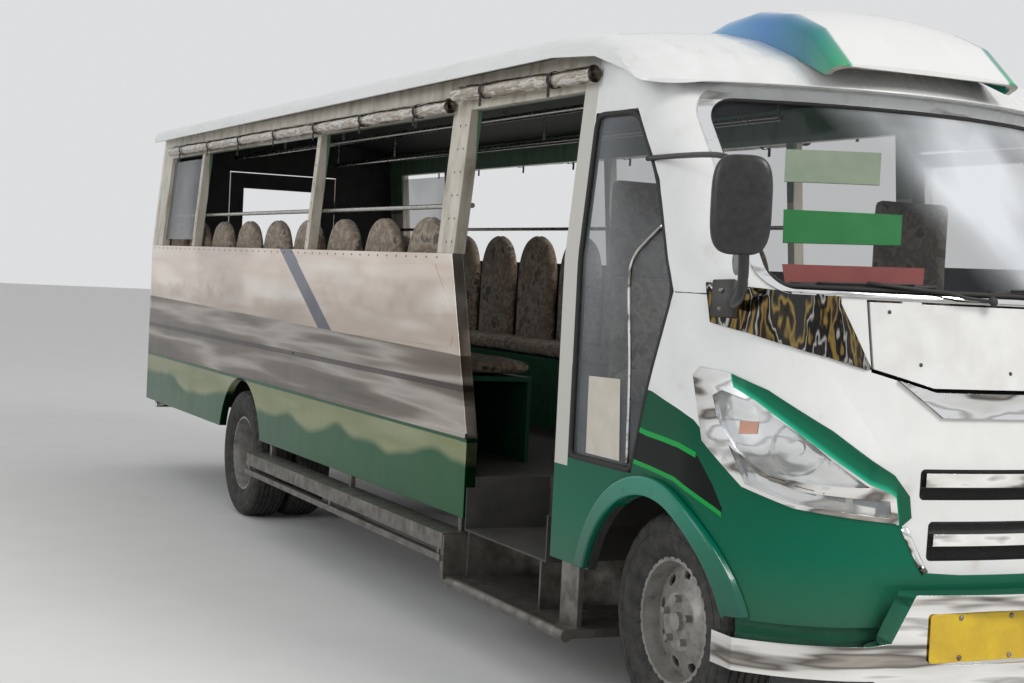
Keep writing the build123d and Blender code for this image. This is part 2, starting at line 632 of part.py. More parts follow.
# Grille inserts with a chrome bar across each, and the winged chrome strip above them
STRIP_OUT = 10
NOSE_STRIP = [(-396, 1125), (-280, 1094), (280, 1094), (396, 1125), (265, 1021), (-265, 1021)]
insert_skin = skin(14, 26)
bar_skin = skin(-8, 16)
inserts = []
for low, high, bar0, bar1, half in GRILLE_SLOTS:
    back = insert_skin & slot_view(half - GAP, low + GAP, high - GAP)
    bar = bar_skin & block(AXLE_F + 450, NOSE_X, -half + SLOT_R, half - SLOT_R, bar0, bar1)
    inserts.append(back + bar)
nose_strip = (skin(-STRIP_OUT, 0) & slab_x(NOSE_STRIP, AXLE_F + 450, NOSE_X)) - lid_clear
save("grille", *inserts, nose_strip)

# Wheel arch flares over the front wheels
FLARE_T = 26
FLARE_LOW = 435
ring = drum_y(ARCH_X, AXLE_Z, FLARE_R, SIDE_IN - 100, SIDE_OUT) - drum_y(ARCH_X, AXLE_Z, ARCH_R, SIDE_IN - 101,
                                                                        SIDE_OUT + 1)
flare = skin(-FLARE_T, 0) & (ring & block(AXLE_F - 600, AXLE_F + 600, SIDE_IN - 200, SIDE_OUT, FLARE_LOW, 1000))
door_clear = slab_y(grown(DOOR, SWING_GAP + 4), SIDE_IN, SIDE_OUT)
save("arch_flares", flare - door_clear, flip(flare))

# Driver's door on the left, hinged at its front edge on two outside barrels, with its window cut
HINGE_R = 9
HINGE_L = 90
HINGE_LEAF = 70
HINGE_T = 4
DOOR_PIN_X = AXLE_F + 63
DOOR_PIN_Y = HALF_W + HINGE_R + 1
DOOR_PIN_Z = (880, 1200)
door = skin(0, WALL, PANEL_BACK) & slab_y(DOOR, SIDE_IN, SIDE_OUT)
door = door - slab_y(DOOR_WINDOW, SIDE_IN, SIDE_OUT)
door = door - drum_y(ARCH_X, AXLE_Z, FLARE_R + SWING_GAP + 4, SIDE_IN - 100, SIDE_OUT)
for z in DOOR_PIN_Z:
    leaf = block(DOOR_PIN_X - HINGE_LEAF, DOOR_PIN_X, HALF_W - 1, HALF_W + HINGE_T, z, z + HINGE_L)
    leaf = leaf - block(DOOR_PIN_X - 3, DOOR_PIN_X + 1, HALF_W - 2, HALF_W + 1, z - 1, z + HINGE_L + 1)
    door = door + leaf + rod((DOOR_PIN_X, DOOR_PIN_Y, z), (DOOR_PIN_X, DOOR_PIN_Y, z + HINGE_L), HINGE_R)
save("driver_door", door)

# Stepped front bumper, raised around the number plate
BUMPER_OUT = FRONT_OVERHANG - BODY_RINGS[0][-1]
BUMPER_IN = 40
BUMPER_END = HALF_W + 8
BUMPER_FACE = [(-900, 313), (-900, 402), (-540, 400), (-470, 408), (-405, 542), (405, 542), (470, 408),
               (540, 400), (900, 402), (900, 313), (520, 305), (450, 262), (-450, 262), (-520, 305)]
low_ring = (250,) + BODY_RINGS[0][1:]
bumper_plan = extrude(body_ring(low_ring, -BUMPER_OUT, 0), amount=300, dir=(0, 0, 1))
bumper_core = extrude(body_ring(low_ring, -BUMPER_IN, -100), amount=300, dir=(0, 0, 1))
front_bumper = (bumper_plan - bumper_core) & slab_x(BUMPER_FACE, AXLE_F + 360, NOSE_X)
front_bumper = front_bumper & block(AXLE_F + 400, NOSE_X, -BUMPER_END, BUMPER_END, 200, 600)
arm_pads = block(AXLE_F + 600, ARM_END + GAP, RAIL_IN - 1, RAIL_OUT + 1, RAIL_Z0 - ARM_DROP - 1, RAIL_Z0 + RAIL_T + 1)
front_bumper = front_bumper - arm_pads - flip(arm_pads)

# Pocket for the number plate on the right half of the raised part, with four bolt holes
PLATE_W = 390
PLATE_H = 140
PLATE_Y = -171
PLATE_Z = 422
PLATE_X = AXLE_F + 732
PLATE_EASE = 4
PLATE_BOLTS_Y = 178
PLATE_BOLTS_Z = 120
PLATE_HOLE_R = 3.25
PLATE_HOLE_L = 20
plate_y0, plate_y1 = PLATE_Y - PLATE_W / 2 - PLATE_EASE, PLATE_Y + PLATE_W / 2 + PLATE_EASE
front_bumper = front_bumper - block(PLATE_X, NOSE_X, plate_y0, plate_y1, PLATE_Z - PLATE_H / 2 - PLATE_EASE,
                                    PLATE_Z + PLATE_H / 2 + PLATE_EASE)
for y in (PLATE_Y - PLATE_BOLTS_Y / 2, PLATE_Y + PLATE_BOLTS_Y / 2):
    for z in (PLATE_Z - PLATE_BOLTS_Z / 2, PLATE_Z + PLATE_BOLTS_Z / 2):
        front_bumper = front_bumper - rod((PLATE_X - PLATE_HOLE_L, y, z), (PLATE_X + 1, y, z), PLATE_HOLE_R)
save("front_bumper", front_bumper)

# Side walls below the belt, with rear wheel arches; the right one ends at the entrance
REAR_ARCH_R = 400
WALL_X0 = BODY_REAR + WALL
ENTRY_BELT = AXLE_F - 1588
ENTRY_FOOT = AXLE_F - 1364
ENTRY_KNEE = 750
ENTRY_FRONT = AXLE_F + BODY_BACK
BACK_POST = AXLE_F - 900 - SWING_GAP
EMBOSS = ahead([(-3597, 1369), (-3040, 1057), (-1578, 1073), (-1529, 1159), (-1765, 1390)])
EMBOSS_T = 4
RUB_Z0, RUB_Z1 = 742, 762
RUB_T = 14
RUB_X0 = AXLE_F - 3102
FOLD_Z = 925
FOLD_X0, FOLD_X1 = AXLE_F - 3533, AXLE_F - 1513
FOLD_DEPTH = 4
EDGE_W = 56
right_outline = [(WALL_X0, SILL_Z), (WALL_X0, BELT_Z), (ENTRY_BELT, BELT_Z), (ENTRY_FOOT, ENTRY_KNEE),
                 (ENTRY_FOOT, SILL_Z)]
left_outline = [(WALL_X0, SILL_Z), (WALL_X0, BELT_Z), (BACK_POST, BELT_Z), (BACK_POST, SILL_Z)]
entry_edge = [(ENTRY_BELT - EDGE_W, BELT_Z), (ENTRY_BELT, BELT_Z), (ENTRY_FOOT, ENTRY_KNEE), (ENTRY_FOOT, SILL_Z),
              (ENTRY_FOOT - EDGE_W, SILL_Z), (ENTRY_FOOT - EDGE_W, ENTRY_KNEE)]
rear_arch = drum_y(AXLE_R, AXLE_Z, REAR_ARCH_R, -SIDE_OUT, SIDE_OUT)


def side_wall(outline, rub_end):
    """Left side panel: sheet, raised panel, rub rail and the sharp fold between them."""
    wall = slab_y(outline, HALF_W - WALL, HALF_W) - rear_arch
    wall = wall + slab_y(EMBOSS, HALF_W - 1, HALF_W + EMBOSS_T)
    wall = wall + block(RUB_X0, rub_end, HALF_W - 1, HALF_W + RUB_T, RUB_Z0, RUB_Z1)
    return wall - block(FOLD_X0, FOLD_X1, HALF_W - FOLD_DEPTH, HALF_W + 1, FOLD_Z - 5, FOLD_Z + 5)


wall_right = side_wall(right_outline, ENTRY_FOOT) + slab_y(entry_edge, HALF_W - 1, HALF_W + EMBOSS_T + 2)
save("side_wall_right", flip(wall_right))
save("side_wall_left", side_wall(left_outline, BACK_POST))

# Window posts and top rails above the belt, leaning in with the body
HEADER_Z = 1985
DOOR_HEAD_Z = 1912
POSTS_RIGHT = [(WALL_X0, BODY_REAR + 260), (AXLE_F - 5560, AXLE_F - 5510), (AXLE_F - 3420, AXLE_F - 3370),
               (AXLE_F - 1755, ENTRY_BELT)]
POSTS_LEFT = POSTS_RIGHT[:3] + [(AXLE_F - 1755, AXLE_F - 1705), (AXLE_F - 1005, BACK_POST)]


def post_frame(posts):
    """Posts and header rail of the left side, cut to the roof's underside."""
    bars = [leaning(x0, x1, BELT_Z, OVER, 0, POST_T) for x0, x1 in posts]
    header = leaning(WALL_X0, ENTRY_FRONT - GAP, HEADER_Z, OVER, 0, POST_T)
    return join(bars + [header])


over_door = leaning(BACK_POST - 1, ENTRY_FRONT - GAP, DOOR_HEAD_Z, HEADER_Z + 1, 0, POST_T)
save("window_frame_right", flip(post_frame(POSTS_RIGHT) - sky))
save("window_frame_left", post_frame(POSTS_LEFT) + over_door - sky)

# Rear wall with the emergency door in its middle, hung on two outside barrels
REAR_DOOR = [(-360, 500), (-360, 1940), (360, 1940), (360, 500)]
REAR_PIN_X = BODY_REAR - HINGE_R - 1
REAR_PIN_Y = REAR_DOOR[2][0] + SWING_GAP / 2
REAR_PIN_Z = (700, 1250, 1700)
wall_top = side_y(OVER)
rear_outline = [(-HALF_W, SILL_Z), (-HALF_W, BELT_Z), (-wall_top, OVER), (wall_top, OVER), (HALF_W, BELT_Z),
                (HALF_W, SILL_Z)]
rear_wall = slab_x(rear_outline, BODY_REAR, WALL_X0)
rear_wall = rear_wall - slab_x(grown(REAR_DOOR, SWING_GAP), BODY_REAR - 10, WALL_X0 + 10) - sky
LOWER_PANEL = [REAR_DOOR[0], (-360, 1470), (360, 1470), REAR_DOOR[3]]
DOOR_STILE = [(270, 1470), (270, 1940), (360, 1940), (360, 1470)]
DOOR_HEAD = [(-270, 1840), (-270, 1940), (270, 1940), (270, 1840)]


def hinge_half(z):
    """Leaf and barrel of one outside hinge, on the door's left edge."""
    leaf = block(BODY_REAR - HINGE_T, BODY_REAR + 1, REAR_PIN_Y - HINGE_LEAF, REAR_PIN_Y - 3, z, z + HINGE_L)
    return leaf + rod((REAR_PIN_X, REAR_PIN_Y, z), (REAR_PIN_X, REAR_PIN_Y, z + HINGE_L), HINGE_R)


door_panel = slab_x(LOWER_PANEL, BODY_REAR, WALL_X0) + hinge_half(REAR_PIN_Z[0]) + hinge_half(REAR_PIN_Z[1])
plain_stile = slab_x(DOOR_STILE, BODY_REAR, WALL_X0)
hinge_stile = plain_stile + hinge_half(REAR_PIN_Z[2])
door_head = slab_x(DOOR_HEAD, BODY_REAR, WALL_X0)
save("rear_wall", rear_wall)
save("rear_door", door_panel, hinge_stile, flip(plain_stile), door_head)

# Tail lamps and rear bumper
lamp_rear = block(BODY_REAR - 24, BODY_REAR, HALF_W - 210, HALF_W - 60, 1010, 1290)
save("tail_lamps", lamp_rear, flip(lamp_rear))
bar_rear = block(BODY_REAR - REAR_BUMPER_T, BODY_REAR - 14, -HALF_W + 70, HALF_W - 70, 380, 480)
stay = block(BODY_REAR - 15, BODY_REAR - GAP, RAIL_IN, RAIL_OUT, RAIL_Z0 + 5, RAIL_Z0 + 55)
save("rear_bumper", join([bar_rear, stay, flip(stay)]))

# Floor: cabin deck, cab deck over the front wheels, wheel boxes and the engine cover
BOX_T = 8
BOX_IN = 412
BOX_TOP_F = 760
BOX_REACH_F = 440
BOX_TOP_R = 720
BOX_REACH_R = 430
WELL_X0 = ENTRY_FOOT + 4
WELL_X1 = ENTRY_FRONT - 30
WELL_Y = -500
WELL_Z = 400
HUMP_T = 10
HUMP_HALF = ENGINE_HALF_W + 28
HUMP_Z = ENGINE_Z1 + 26
inner_y = HALF_W - WALL
deck = block(WALL_X0, AXLE_F - BOX_REACH_F, -inner_y, inner_y, FLOOR_Z, DECK_Z)
cab_deck = block(AXLE_F - BOX_REACH_F, AXLE_F + 560, -BOX_IN, BOX_IN, FLOOR_Z, DECK_Z)


def wheel_box(x_mid, reach, top):
    """Open-bottomed box over the wheels on the left side."""
    outer = block(x_mid - reach, x_mid + reach, BOX_IN - BOX_T, inner_y, FLOOR_Z, top)
    inner = block(x_mid - reach + BOX_T, x_mid + reach - BOX_T, BOX_IN, inner_y + 1, FLOOR_Z - 1, top - BOX_T)
    return outer - inner


rear_cut = block(AXLE_R - BOX_REACH_R, AXLE_R + BOX_REACH_R, BOX_IN - BOX_T, inner_y + 1, FLOOR_Z - 1, DECK_Z + 1)
box_r = wheel_box(AXLE_R, BOX_REACH_R, BOX_TOP_R)
box_f = wheel_box(AXLE_F, BOX_REACH_F, BOX_TOP_F)
hump_x0, hump_x1 = ENGINE_X0 - 14, ENGINE_X1 + 14
hump = block(hump_x0, hump_x1, -HUMP_HALF, HUMP_HALF, FLOOR_Z, HUMP_Z)
hump_in = block(hump_x0 + HUMP_T, hump_x1 - HUMP_T, -HUMP_HALF + HUMP_T, HUMP_HALF - HUMP_T, FLOOR_Z - 1,
                HUMP_Z - HUMP_T)
floor = deck - rear_cut - flip(rear_cut) + cab_deck + box_r + flip(box_r) + box_f + flip(box_f) + hump - hump_in
well_cut = block(WELL_X0, WELL_X1, -inner_y - 1, WELL_Y, FLOOR_Z - 1, DECK_Z + 1)
well = block(WELL_X0, WELL_X1, -HALF_W + 2, WELL_Y + BOX_T, WELL_Z, FLOOR_Z + 1)
well = well - block(WELL_X0 + BOX_T, WELL_X1 - BOX_T, -HALF_W, WELL_Y, WELL_Z + BOX_T, FLOOR_Z + 2)
floor = floor - well_cut + well
cab_inside = body_form(SKIN, PANEL_BACK) + block(BODY_REAR, ENTRY_FRONT, -SIDE_OUT, SIDE_OUT, 0, OVER)
door_room = block(BACK_POST, AXLE_F + 60 + SWING_GAP, HALF_W - WALL - SWING_GAP, SIDE_OUT, SILL_Z, 1000)
lamp_clear = lamp_slab(LAMP, 4)
floor = (floor & cab_inside) - door_room - lamp_clear - flip(lamp_clear)
save("floor", floor)

# Steps: running board behind the entrance and the low boarding step under it, with a tube on its edge
BOARD_X0 = AXLE_R + REAR_ARCH_R + 60
BOARD_OUT = HALF_W + 85
BOARD_Z = 376
STEP_X1 = AXLE_F - 385
STEP_Z0, STEP_Z1 = 204, 232
STEP_OUT = HALF_W + 55
TUBE_EDGE_R = 20
board = block(BOARD_X0, ENTRY_FOOT, -BOARD_OUT, -HALF_W + 30, BOARD_Z, BOARD_Z + 14)
board_edge = block(BOARD_X0, ENTRY_FOOT, -BOARD_OUT, -BOARD_OUT + 12, BOARD_Z - 46, BOARD_Z + 14)
lower_rail = block(BOARD_X0, ENTRY_FOOT, -BOARD_OUT - 8, -BOARD_OUT + 20, 285, 310)
board_mid = (BOARD_X0 + ENTRY_FOOT) / 2
links = [block(x - 12, x + 12, -BOARD_OUT + 2, -BOARD_OUT + 14, 300, 340)
         for x in (BOARD_X0 + 40, board_mid, ENTRY_FOOT - 40)]
hangers = [block(x - 15, x + 15, -HALF_W + 10, -HALF_W + 30, BOARD_Z + 4, SILL_Z - GAP)
           for x in (BOARD_X0 + 100, board_mid, ENTRY_FOOT - 60)]
boarding = block(ENTRY_FOOT, STEP_X1, -STEP_OUT, WELL_Y, STEP_Z0, STEP_Z1)
edge_tube = rod((ENTRY_FOOT, -STEP_OUT, 214), (STEP_X1, -STEP_OUT, 214), TUBE_EDGE_R)
step_sides = [block(x, x + 12, -HALF_W + 10, WELL_Y, STEP_Z1 - 1, WELL_Z - GAP)
              for x in (ENTRY_FOOT + 20, WELL_X1 - 60)]
bracket = block(AXLE_F - 554, AXLE_F - 430, -HALF_W + 4, -HALF_W + 22, STEP_Z1 - 1, BODY_RINGS[0][0] - GAP)
tie = block(ENTRY_FOOT - 14, ENTRY_FOOT + 14, -BOARD_OUT + 2, -HALF_W + 12, STEP_Z0 + 16, BOARD_Z + 9)
save("side_steps", join([board, board_edge, lower_rail] + links + hangers + [boarding, edge_tube] + step_sides
                        + [bracket, tie]))

# Passenger benches along both walls: boxes, cushions and round-topped backs
BENCH_IN = 384
BENCH_T = 18
SEAT_Z = 930
BENCH_X0 = WALL_X0 + 40
BENCH_X1 = AXLE_F - 1800
CUSHION_T = 75
BACK_N = 9
BACK_W = 455
BACK_TOP = 1585
BACK_T = 62
back_out = side_y(BACK_TOP) - POST_T - GAP
seat_front = block(BENCH_X0, BENCH_X1, BENCH_IN, BENCH_IN + BENCH_T, DECK_Z + GAP, SEAT_Z)
seat_board = block(BENCH_X0, BENCH_X1, BENCH_IN, inner_y - GAP, SEAT_Z - 1, SEAT_Z + BENCH_T)
bench_box = seat_front + seat_board
save("bench_boxes", bench_box, flip(bench_box))
cushion_z = SEAT_Z + BENCH_T + GAP
cushion = block(BENCH_X0, BENCH_X1, BENCH_IN + 4, back_out - BACK_T - 6, cushion_z, cushion_z + CUSHION_T)
pitch = (BENCH_X1 - BENCH_X0) / BACK_N
backs = []
for i in range(BACK_N):
    x = BENCH_X0 + (i + 0.5) * pitch
    low = block(x - BACK_W / 2, x + BACK_W / 2, back_out - BACK_T, back_out, cushion_z, BACK_TOP - BACK_W / 2)
    top = drum_y(x, BACK_TOP - BACK_W / 2, BACK_W / 2, back_out - BACK_T, back_out)
    backs.append(low + top)
save("bench_cushions", cushion, flip(cushion), *backs, *[flip(back) for back in backs])

# Front seats on risers beside the engine cover
SEAT_IN = HUMP_HALF + 8
SEAT_OUT = HALF_W - 130
RISER_Z = 965
PAD_H = 110
REST_TOP = 1700
seat_x0, seat_x1 = AXLE_F - 600, AXLE_F - 150
box_back = AXLE_F - BOX_REACH_F
riser = slab_y([(seat_x0, DECK_Z + GAP), (seat_x0, RISER_Z), (seat_x1, RISER_Z), (seat_x1, BOX_TOP_F + GAP),
                (box_back - GAP, BOX_TOP_F + GAP), (box_back - GAP, DECK_Z + GAP)], SEAT_IN + 170, SEAT_OUT)
pad = block(seat_x0 + 60, seat_x1 + 20, SEAT_IN, SEAT_OUT, RISER_Z + GAP, RISER_Z + PAD_H)
rest = slab_y([(seat_x0 - 60, REST_TOP), (seat_x0 + 40, REST_TOP), (seat_x0 + 130, RISER_Z + PAD_H + GAP),
               (seat_x0 + 59, RISER_Z + PAD_H), (seat_x0 + 59, RISER_Z + GAP), (seat_x0, RISER_Z + GAP)],
              SEAT_IN + 20, SEAT_OUT - 20)
save("front_seats", riser, flip(riser), pad, flip(pad), rest, flip(rest))

# Dashboard and the steering wheel on its column
DASH_LOW = 1000
DASH_TOP = 1330
dash = slab_y(ahead([(230, DASH_LOW), (160, 1120), (190, 1270), (330, DASH_TOP), (700, DASH_TOP), (700, DASH_LOW)]),
              -HALF_W, HALF_W)
dash = dash & body_form(SKIN + GAP)
dash = dash - slab_x(grown(LID, 20), AXLE_F + 400, NOSE_X) - lamp_clear - flip(lamp_clear)
save("dashboard", dash)
WHEEL_R = 195
HOOP_R = 13
BOSS_R = 45
COLUMN_R = 24
wheel_c = (AXLE_F + 70, 450, 1290)
lean = Vector(-0.42, 0, 0.907)
hoop = Plane(origin=wheel_c, z_dir=lean) * Torus(WHEEL_R, HOOP_R)
boss = Plane(origin=wheel_c, z_dir=lean) * Cylinder(BOSS_R, 40)
spokes = [Plane(origin=wheel_c, z_dir=lean) * (Rot(Z=a) * (Pos(WHEEL_R / 2, 0, 0) * Box(WHEEL_R, 26, 10)))
          for a in (0, 120, 240)]
foot = Vector(*wheel_c) - lean * ((wheel_c[2] - BOX_TOP_F + 40) / lean.Z)
column = rod(tuple(foot), wheel_c, COLUMN_R) - block(AXLE_F - 600, NOSE_X, 0, SIDE_OUT, 0, BOX_TOP_F + GAP)
save("steering_wheel", join([hoop, boss, column] + spokes) - dash)

# Ceiling grab rails and the guard bars across the open windows
GRAB_R = 14
GRAB_Y = 350
GRAB_Z = 2030
GRAB_N = 6
HANGER_R = 8
GUARD_R = 10
GUARD_Z = 1622
grab_x0, grab_x1 = WALL_X0 + 60, AXLE_F - 1200
grab = rod((grab_x0, GRAB_Y, GRAB_Z), (grab_x1, GRAB_Y, GRAB_Z), GRAB_R)
for i in range(GRAB_N):
    x = grab_x0 + 20 + i * (grab_x1 - grab_x0 - 40) / (GRAB_N - 1)
    grab = grab + rod((x, GRAB_Y, GRAB_Z), (x, GRAB_Y, OVER), HANGER_R)
grab = grab - sky
guard_y = side_y(GUARD_Z) - POST_T - GUARD_R - 2 * GAP
guard = rod((WALL_X0 + GAP, guard_y, GUARD_Z), (AXLE_F - 1600, guard_y, GUARD_Z), GUARD_R)
save("handrails", grab, flip(grab), guard, flip(guard))

# Rolled side curtains under the drip edge
ROLL_R = 34
ROLL_SPANS = [
    # rear end and its height, front end and its height
    (BODY_REAR + 340, 2022, AXLE_F - 1720, 2005),
    (AXLE_F - 1675, 2046, AXLE_F - 525, 2030),
]
rolls = []
for x0, z0, x1, z1 in ROLL_SPANS:
    out = ROLL_R + 2 * GAP
    rolls.append(rod((x0, side_y(z0) + out, z0), (x1, side_y(z1) + out, z1), ROLL_R))
save("curtain_rolls", *rolls, *[flip(roll) for roll in rolls])

# Door mirrors on a rod arm, braced from a base on the corner panel
MIRROR_W = 168
MIRROR_H = 274
MIRROR_T = 65
MIRROR_R = 26
MIRROR_TURN = 28
MIRROR_OUT = HALF_W + 50
ARM_X_RIGHT = -165
ARM_X_LEFT = -100
mirror_c = (AXLE_F + 500, MIRROR_OUT, 1585)
trim_zone = block(AXLE_F + 150, NOSE_X, -SIDE_OUT, SIDE_OUT, 1000, 1500)
body_clear = body_form(-GAP) + (body_form(-TRIM_T - GAP) & trim_zone)


def mirror_set(arm_x):
    """Left mirror with its arms, the upper arm rooted at arm_x ahead of the front axle."""
    case = Pos(*mirror_c) * (Rot(Z=MIRROR_TURN) * Box(MIRROR_T, MIRROR_W, MIRROR_H))
    case = fillet(case.edges().filter_by(Axis.Z), MIRROR_R)
    upper_arm = rod((AXLE_F + arm_x, side_y(1742) - 4, 1742), (AXLE_F + 462, MIRROR_OUT + 55, 1690), 9)
    base = block(AXLE_F + 250, AXLE_F + 372, SIDE_IN, SIDE_OUT, 1268, 1379) & body_form(-40)
    lower_arm = rod((AXLE_F + 335, HALF_W - 45, 1325), (AXLE_F + 520, MIRROR_OUT - 45, 1475), 15)
    disc = rod((AXLE_F + 448, MIRROR_OUT - 14, 1434), (AXLE_F + 448, MIRROR_OUT - 26, 1434), 44)
    stud = rod((AXLE_F + 448, MIRROR_OUT - 20, 1434), (AXLE_F + 448, MIRROR_OUT - 75, 1425), 14)
    whole = join([case, upper_arm, base, lower_arm, disc, stud]) - body_clear
    return whole.solids().sort_by(SortBy.VOLUME)[-1]


save("door_mirrors", mirror_set(ARM_X_LEFT), flip(mirror_set(ARM_X_RIGHT)))

# Wipers lying along the foot of the windshield
WIPERS = [
    # outer end and inner end of a blade seen from the front
    ((-660, 1368), (-240, 1376)),
    ((-60, 1370), (400, 1392)),
]
WIPER_H = 14
blades = [skin(-10, GLASS_IN - GAP) & slab_x([(y0, z0), (y1, z1), (y1, z1 + WIPER_H), (y0, z0 + WIPER_H)],
                                             AXLE_F + 100, NOSE_X)
          for (y0, z0), (y1, z1) in WIPERS]
save("wipers", *blades)
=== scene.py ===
import bmesh
import bpy
import json
import math
from mathutils import Matrix, Vector
from mathutils.bvhtree import BVHTree


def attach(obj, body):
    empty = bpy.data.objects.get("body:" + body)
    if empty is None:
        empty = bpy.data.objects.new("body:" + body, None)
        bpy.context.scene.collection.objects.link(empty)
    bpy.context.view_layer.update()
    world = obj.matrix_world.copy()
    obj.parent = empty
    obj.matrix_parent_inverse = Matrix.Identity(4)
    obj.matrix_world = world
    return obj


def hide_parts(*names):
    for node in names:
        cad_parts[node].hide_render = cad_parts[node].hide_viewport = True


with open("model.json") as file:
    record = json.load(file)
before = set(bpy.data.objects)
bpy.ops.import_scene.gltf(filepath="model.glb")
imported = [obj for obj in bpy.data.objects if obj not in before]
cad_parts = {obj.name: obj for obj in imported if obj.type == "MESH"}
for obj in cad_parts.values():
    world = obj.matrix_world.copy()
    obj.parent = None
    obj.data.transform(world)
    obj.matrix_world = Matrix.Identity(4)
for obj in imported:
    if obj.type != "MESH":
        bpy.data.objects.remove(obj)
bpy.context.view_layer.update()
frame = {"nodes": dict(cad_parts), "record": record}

# The kerbside viewpoint: a short telephoto held slightly tilted, low in front of the right corner.
# Everything is in metres: x runs forwards from the middle of the vehicle, y to its left and z up.
VIEW_FROM = Vector((7.34624, -3.40817, 1.37168))
VIEW_YAW, VIEW_DOWN, VIEW_ROLL = 0.439845, 0.040637, 0.049360
VIEW_LENS, FILM_WIDTH, VIEW_DEPTH = 59.70, 36, 200
look = Vector((-math.cos(VIEW_YAW) * math.cos(VIEW_DOWN), math.sin(VIEW_YAW) * math.cos(VIEW_DOWN),
               -math.sin(VIEW_DOWN)))
level = look.cross(Vector((0, 0, 1))).normalized()
upright = level.cross(look)
right = math.cos(VIEW_ROLL) * level + math.sin(VIEW_ROLL) * upright
up = -math.sin(VIEW_ROLL) * level + math.cos(VIEW_ROLL) * upright
kerb_camera = bpy.data.cameras.new("kerb_camera")
kerb_camera.sensor_width = FILM_WIDTH
kerb_camera.lens = VIEW_LENS
kerb_camera.clip_end = VIEW_DEPTH
kerb_view = bpy.data.objects.new("kerb_camera", kerb_camera)
kerb_view.matrix_world = Matrix.Translation(VIEW_FROM) @ Matrix((right, up, -look)).transposed().to_4x4()
bpy.context.scene.collection.objects.link(kerb_view)
bpy.context.scene.camera = kerb_view
bpy.context.scene.view_settings.view_transform = "Standard"


# The studio: a pale matt floor, one large soft lamp high at the front, a weaker one at the kerb,
# and an even pale surround that metal and glass reflect.
class Finish:
    """One node tree and its shader, with short ways to add, work out and join nodes."""

    def __init__(self, owner, shader):
        owner.use_nodes = True
        self.owner = owner
        self.tree = owner.node_tree
        self.shader = self.tree.nodes[shader]

    def add(self, kind, **settings):
        node = self.tree.nodes.new("ShaderNode" + kind)
        for key, value in settings.items():
            setattr(node, key, value)
        return node

    def join(self, source, target):
        self.tree.links.new(source, target)

    def feed(self, socket, value):
        """Gives a socket a number, a colour or another node's output."""
        if isinstance(value, tuple):
            socket.default_value = (*value, 1.0)
        elif isinstance(value, (int, float)):
            socket.default_value = value
        else:
            self.join(value, socket)

    def coat(self, **sources):
        """Joins nodes to the shader's sockets by their names and gives the finished material."""
        for key, source in sources.items():
            self.join(source, self.shader.inputs[key.replace("_", " ")])
        return self.owner

    def math(self, how, a, b=0.0):
        node = self.add("Math", operation=how)
        self.feed(node.inputs[0], a)
        self.feed(node.inputs[1], b)
        return node.outputs[0]

    def plus(self, a, b):
        return self.math("ADD", a, b)

    def minus(self, a, b):
        return self.math("SUBTRACT", a, b)

    def times(self, a, b):
        return self.math("MULTIPLY", a, b)

    def below(self, a, b):
        return self.math("LESS_THAN", a, b)

    def above(self, a, b):
        return self.math("GREATER_THAN", a, b)

    def near(self, a, b, reach):
        return self.below(self.math("ABSOLUTE", self.minus(a, b)), reach)

    def axes(self):
        """The three distances of a place on the object at rest."""
        parts = self.add("SeparateXYZ")
        self.join(self.add("TexCoord").outputs["Object"], parts.inputs[0])
        return parts.outputs

    def upward(self):
        """How far a face looks up: 1 on top, 0 upright, -1 underneath."""
        parts = self.add("SeparateXYZ")
        self.join(self.add("TexCoord").outputs["Normal"], parts.inputs[0])
        return parts.outputs[2]

    def mottle(self, scale, stretch=(1, 1, 1), detail=5.0, rough=0.55):
        """Soft patches fixed to the object; a stretch under 1 draws them out along that axis."""
        mapping = self.add("Mapping")
        mapping.inputs["Scale"].default_value = stretch
        self.join(self.add("TexCoord").outputs["Object"], mapping.inputs["Vector"])
        noise = self.add("TexNoise")
        for name, value in (("Scale", scale), ("Detail", detail), ("Roughness", rough)):
            noise.inputs[name].default_value = value
        self.join(mapping.outputs[0], noise.inputs["Vector"])
        return noise.outputs["Fac"]

    def weave(self, scale, **settings):
        """Fine even ribs fixed to the object."""
        wave = self.add("TexWave", **settings)
        wave.inputs["Scale"].default_value = scale
        self.join(self.add("TexCoord").outputs["Object"], wave.inputs["Vector"])
        return wave.outputs["Fac"]

    def ramp(self, fac, stops):
        node = self.add("ValToRGB")
        while len(node.color_ramp.elements) < len(stops):
            node.color_ramp.elements.new(0.5)
        for element, (place, colour) in zip(node.color_ramp.elements, stops):
            element.position = place
            element.color = (*colour, 1.0)
        self.join(fac, node.inputs[0])
        return node.outputs[0]

    def range(self, value, low, high, out_low=0.0, out_high=1.0):
        node = self.add("MapRange")
        for socket, number in zip(node.inputs, (value, low, high, out_low, out_high)):
            self.feed(socket, number)
        return node.outputs[0]

    def uneven(self, mottle, low, high):
        """Roughness between two values, following the middle of a mottle."""
        return self.range(mottle, 0.3, 0.8, low, high)

    def mix(self, fac, a, b):
        node = self.add("Mix", data_type="RGBA")
        for socket, value in ((0, fac), (6, a), (7, b)):
            self.feed(node.inputs[socket], value)
        return node.outputs[2]

    def bump(self, height, distance, strength=1.0):
        node = self.add("Bump")
        node.inputs["Distance"].default_value = distance
        node.inputs["Strength"].default_value = strength
        self.join(height, node.inputs["Height"])
        return node.outputs[0]

    def dents(self, scale, depth, strength):
        """Slow waves of sheet that was beaten and filled by hand."""
        return self.bump(self.mottle(scale, detail=2.0), depth, strength)


def new_finish(name, **sockets):
    """New material, with plain values on its shader's own sockets."""
    n = Finish(bpy.data.materials.new(name), "Principled BSDF")
    for key, value in sockets.items():
        n.feed(n.shader.inputs[key.replace("_", " ")], value)
    return n


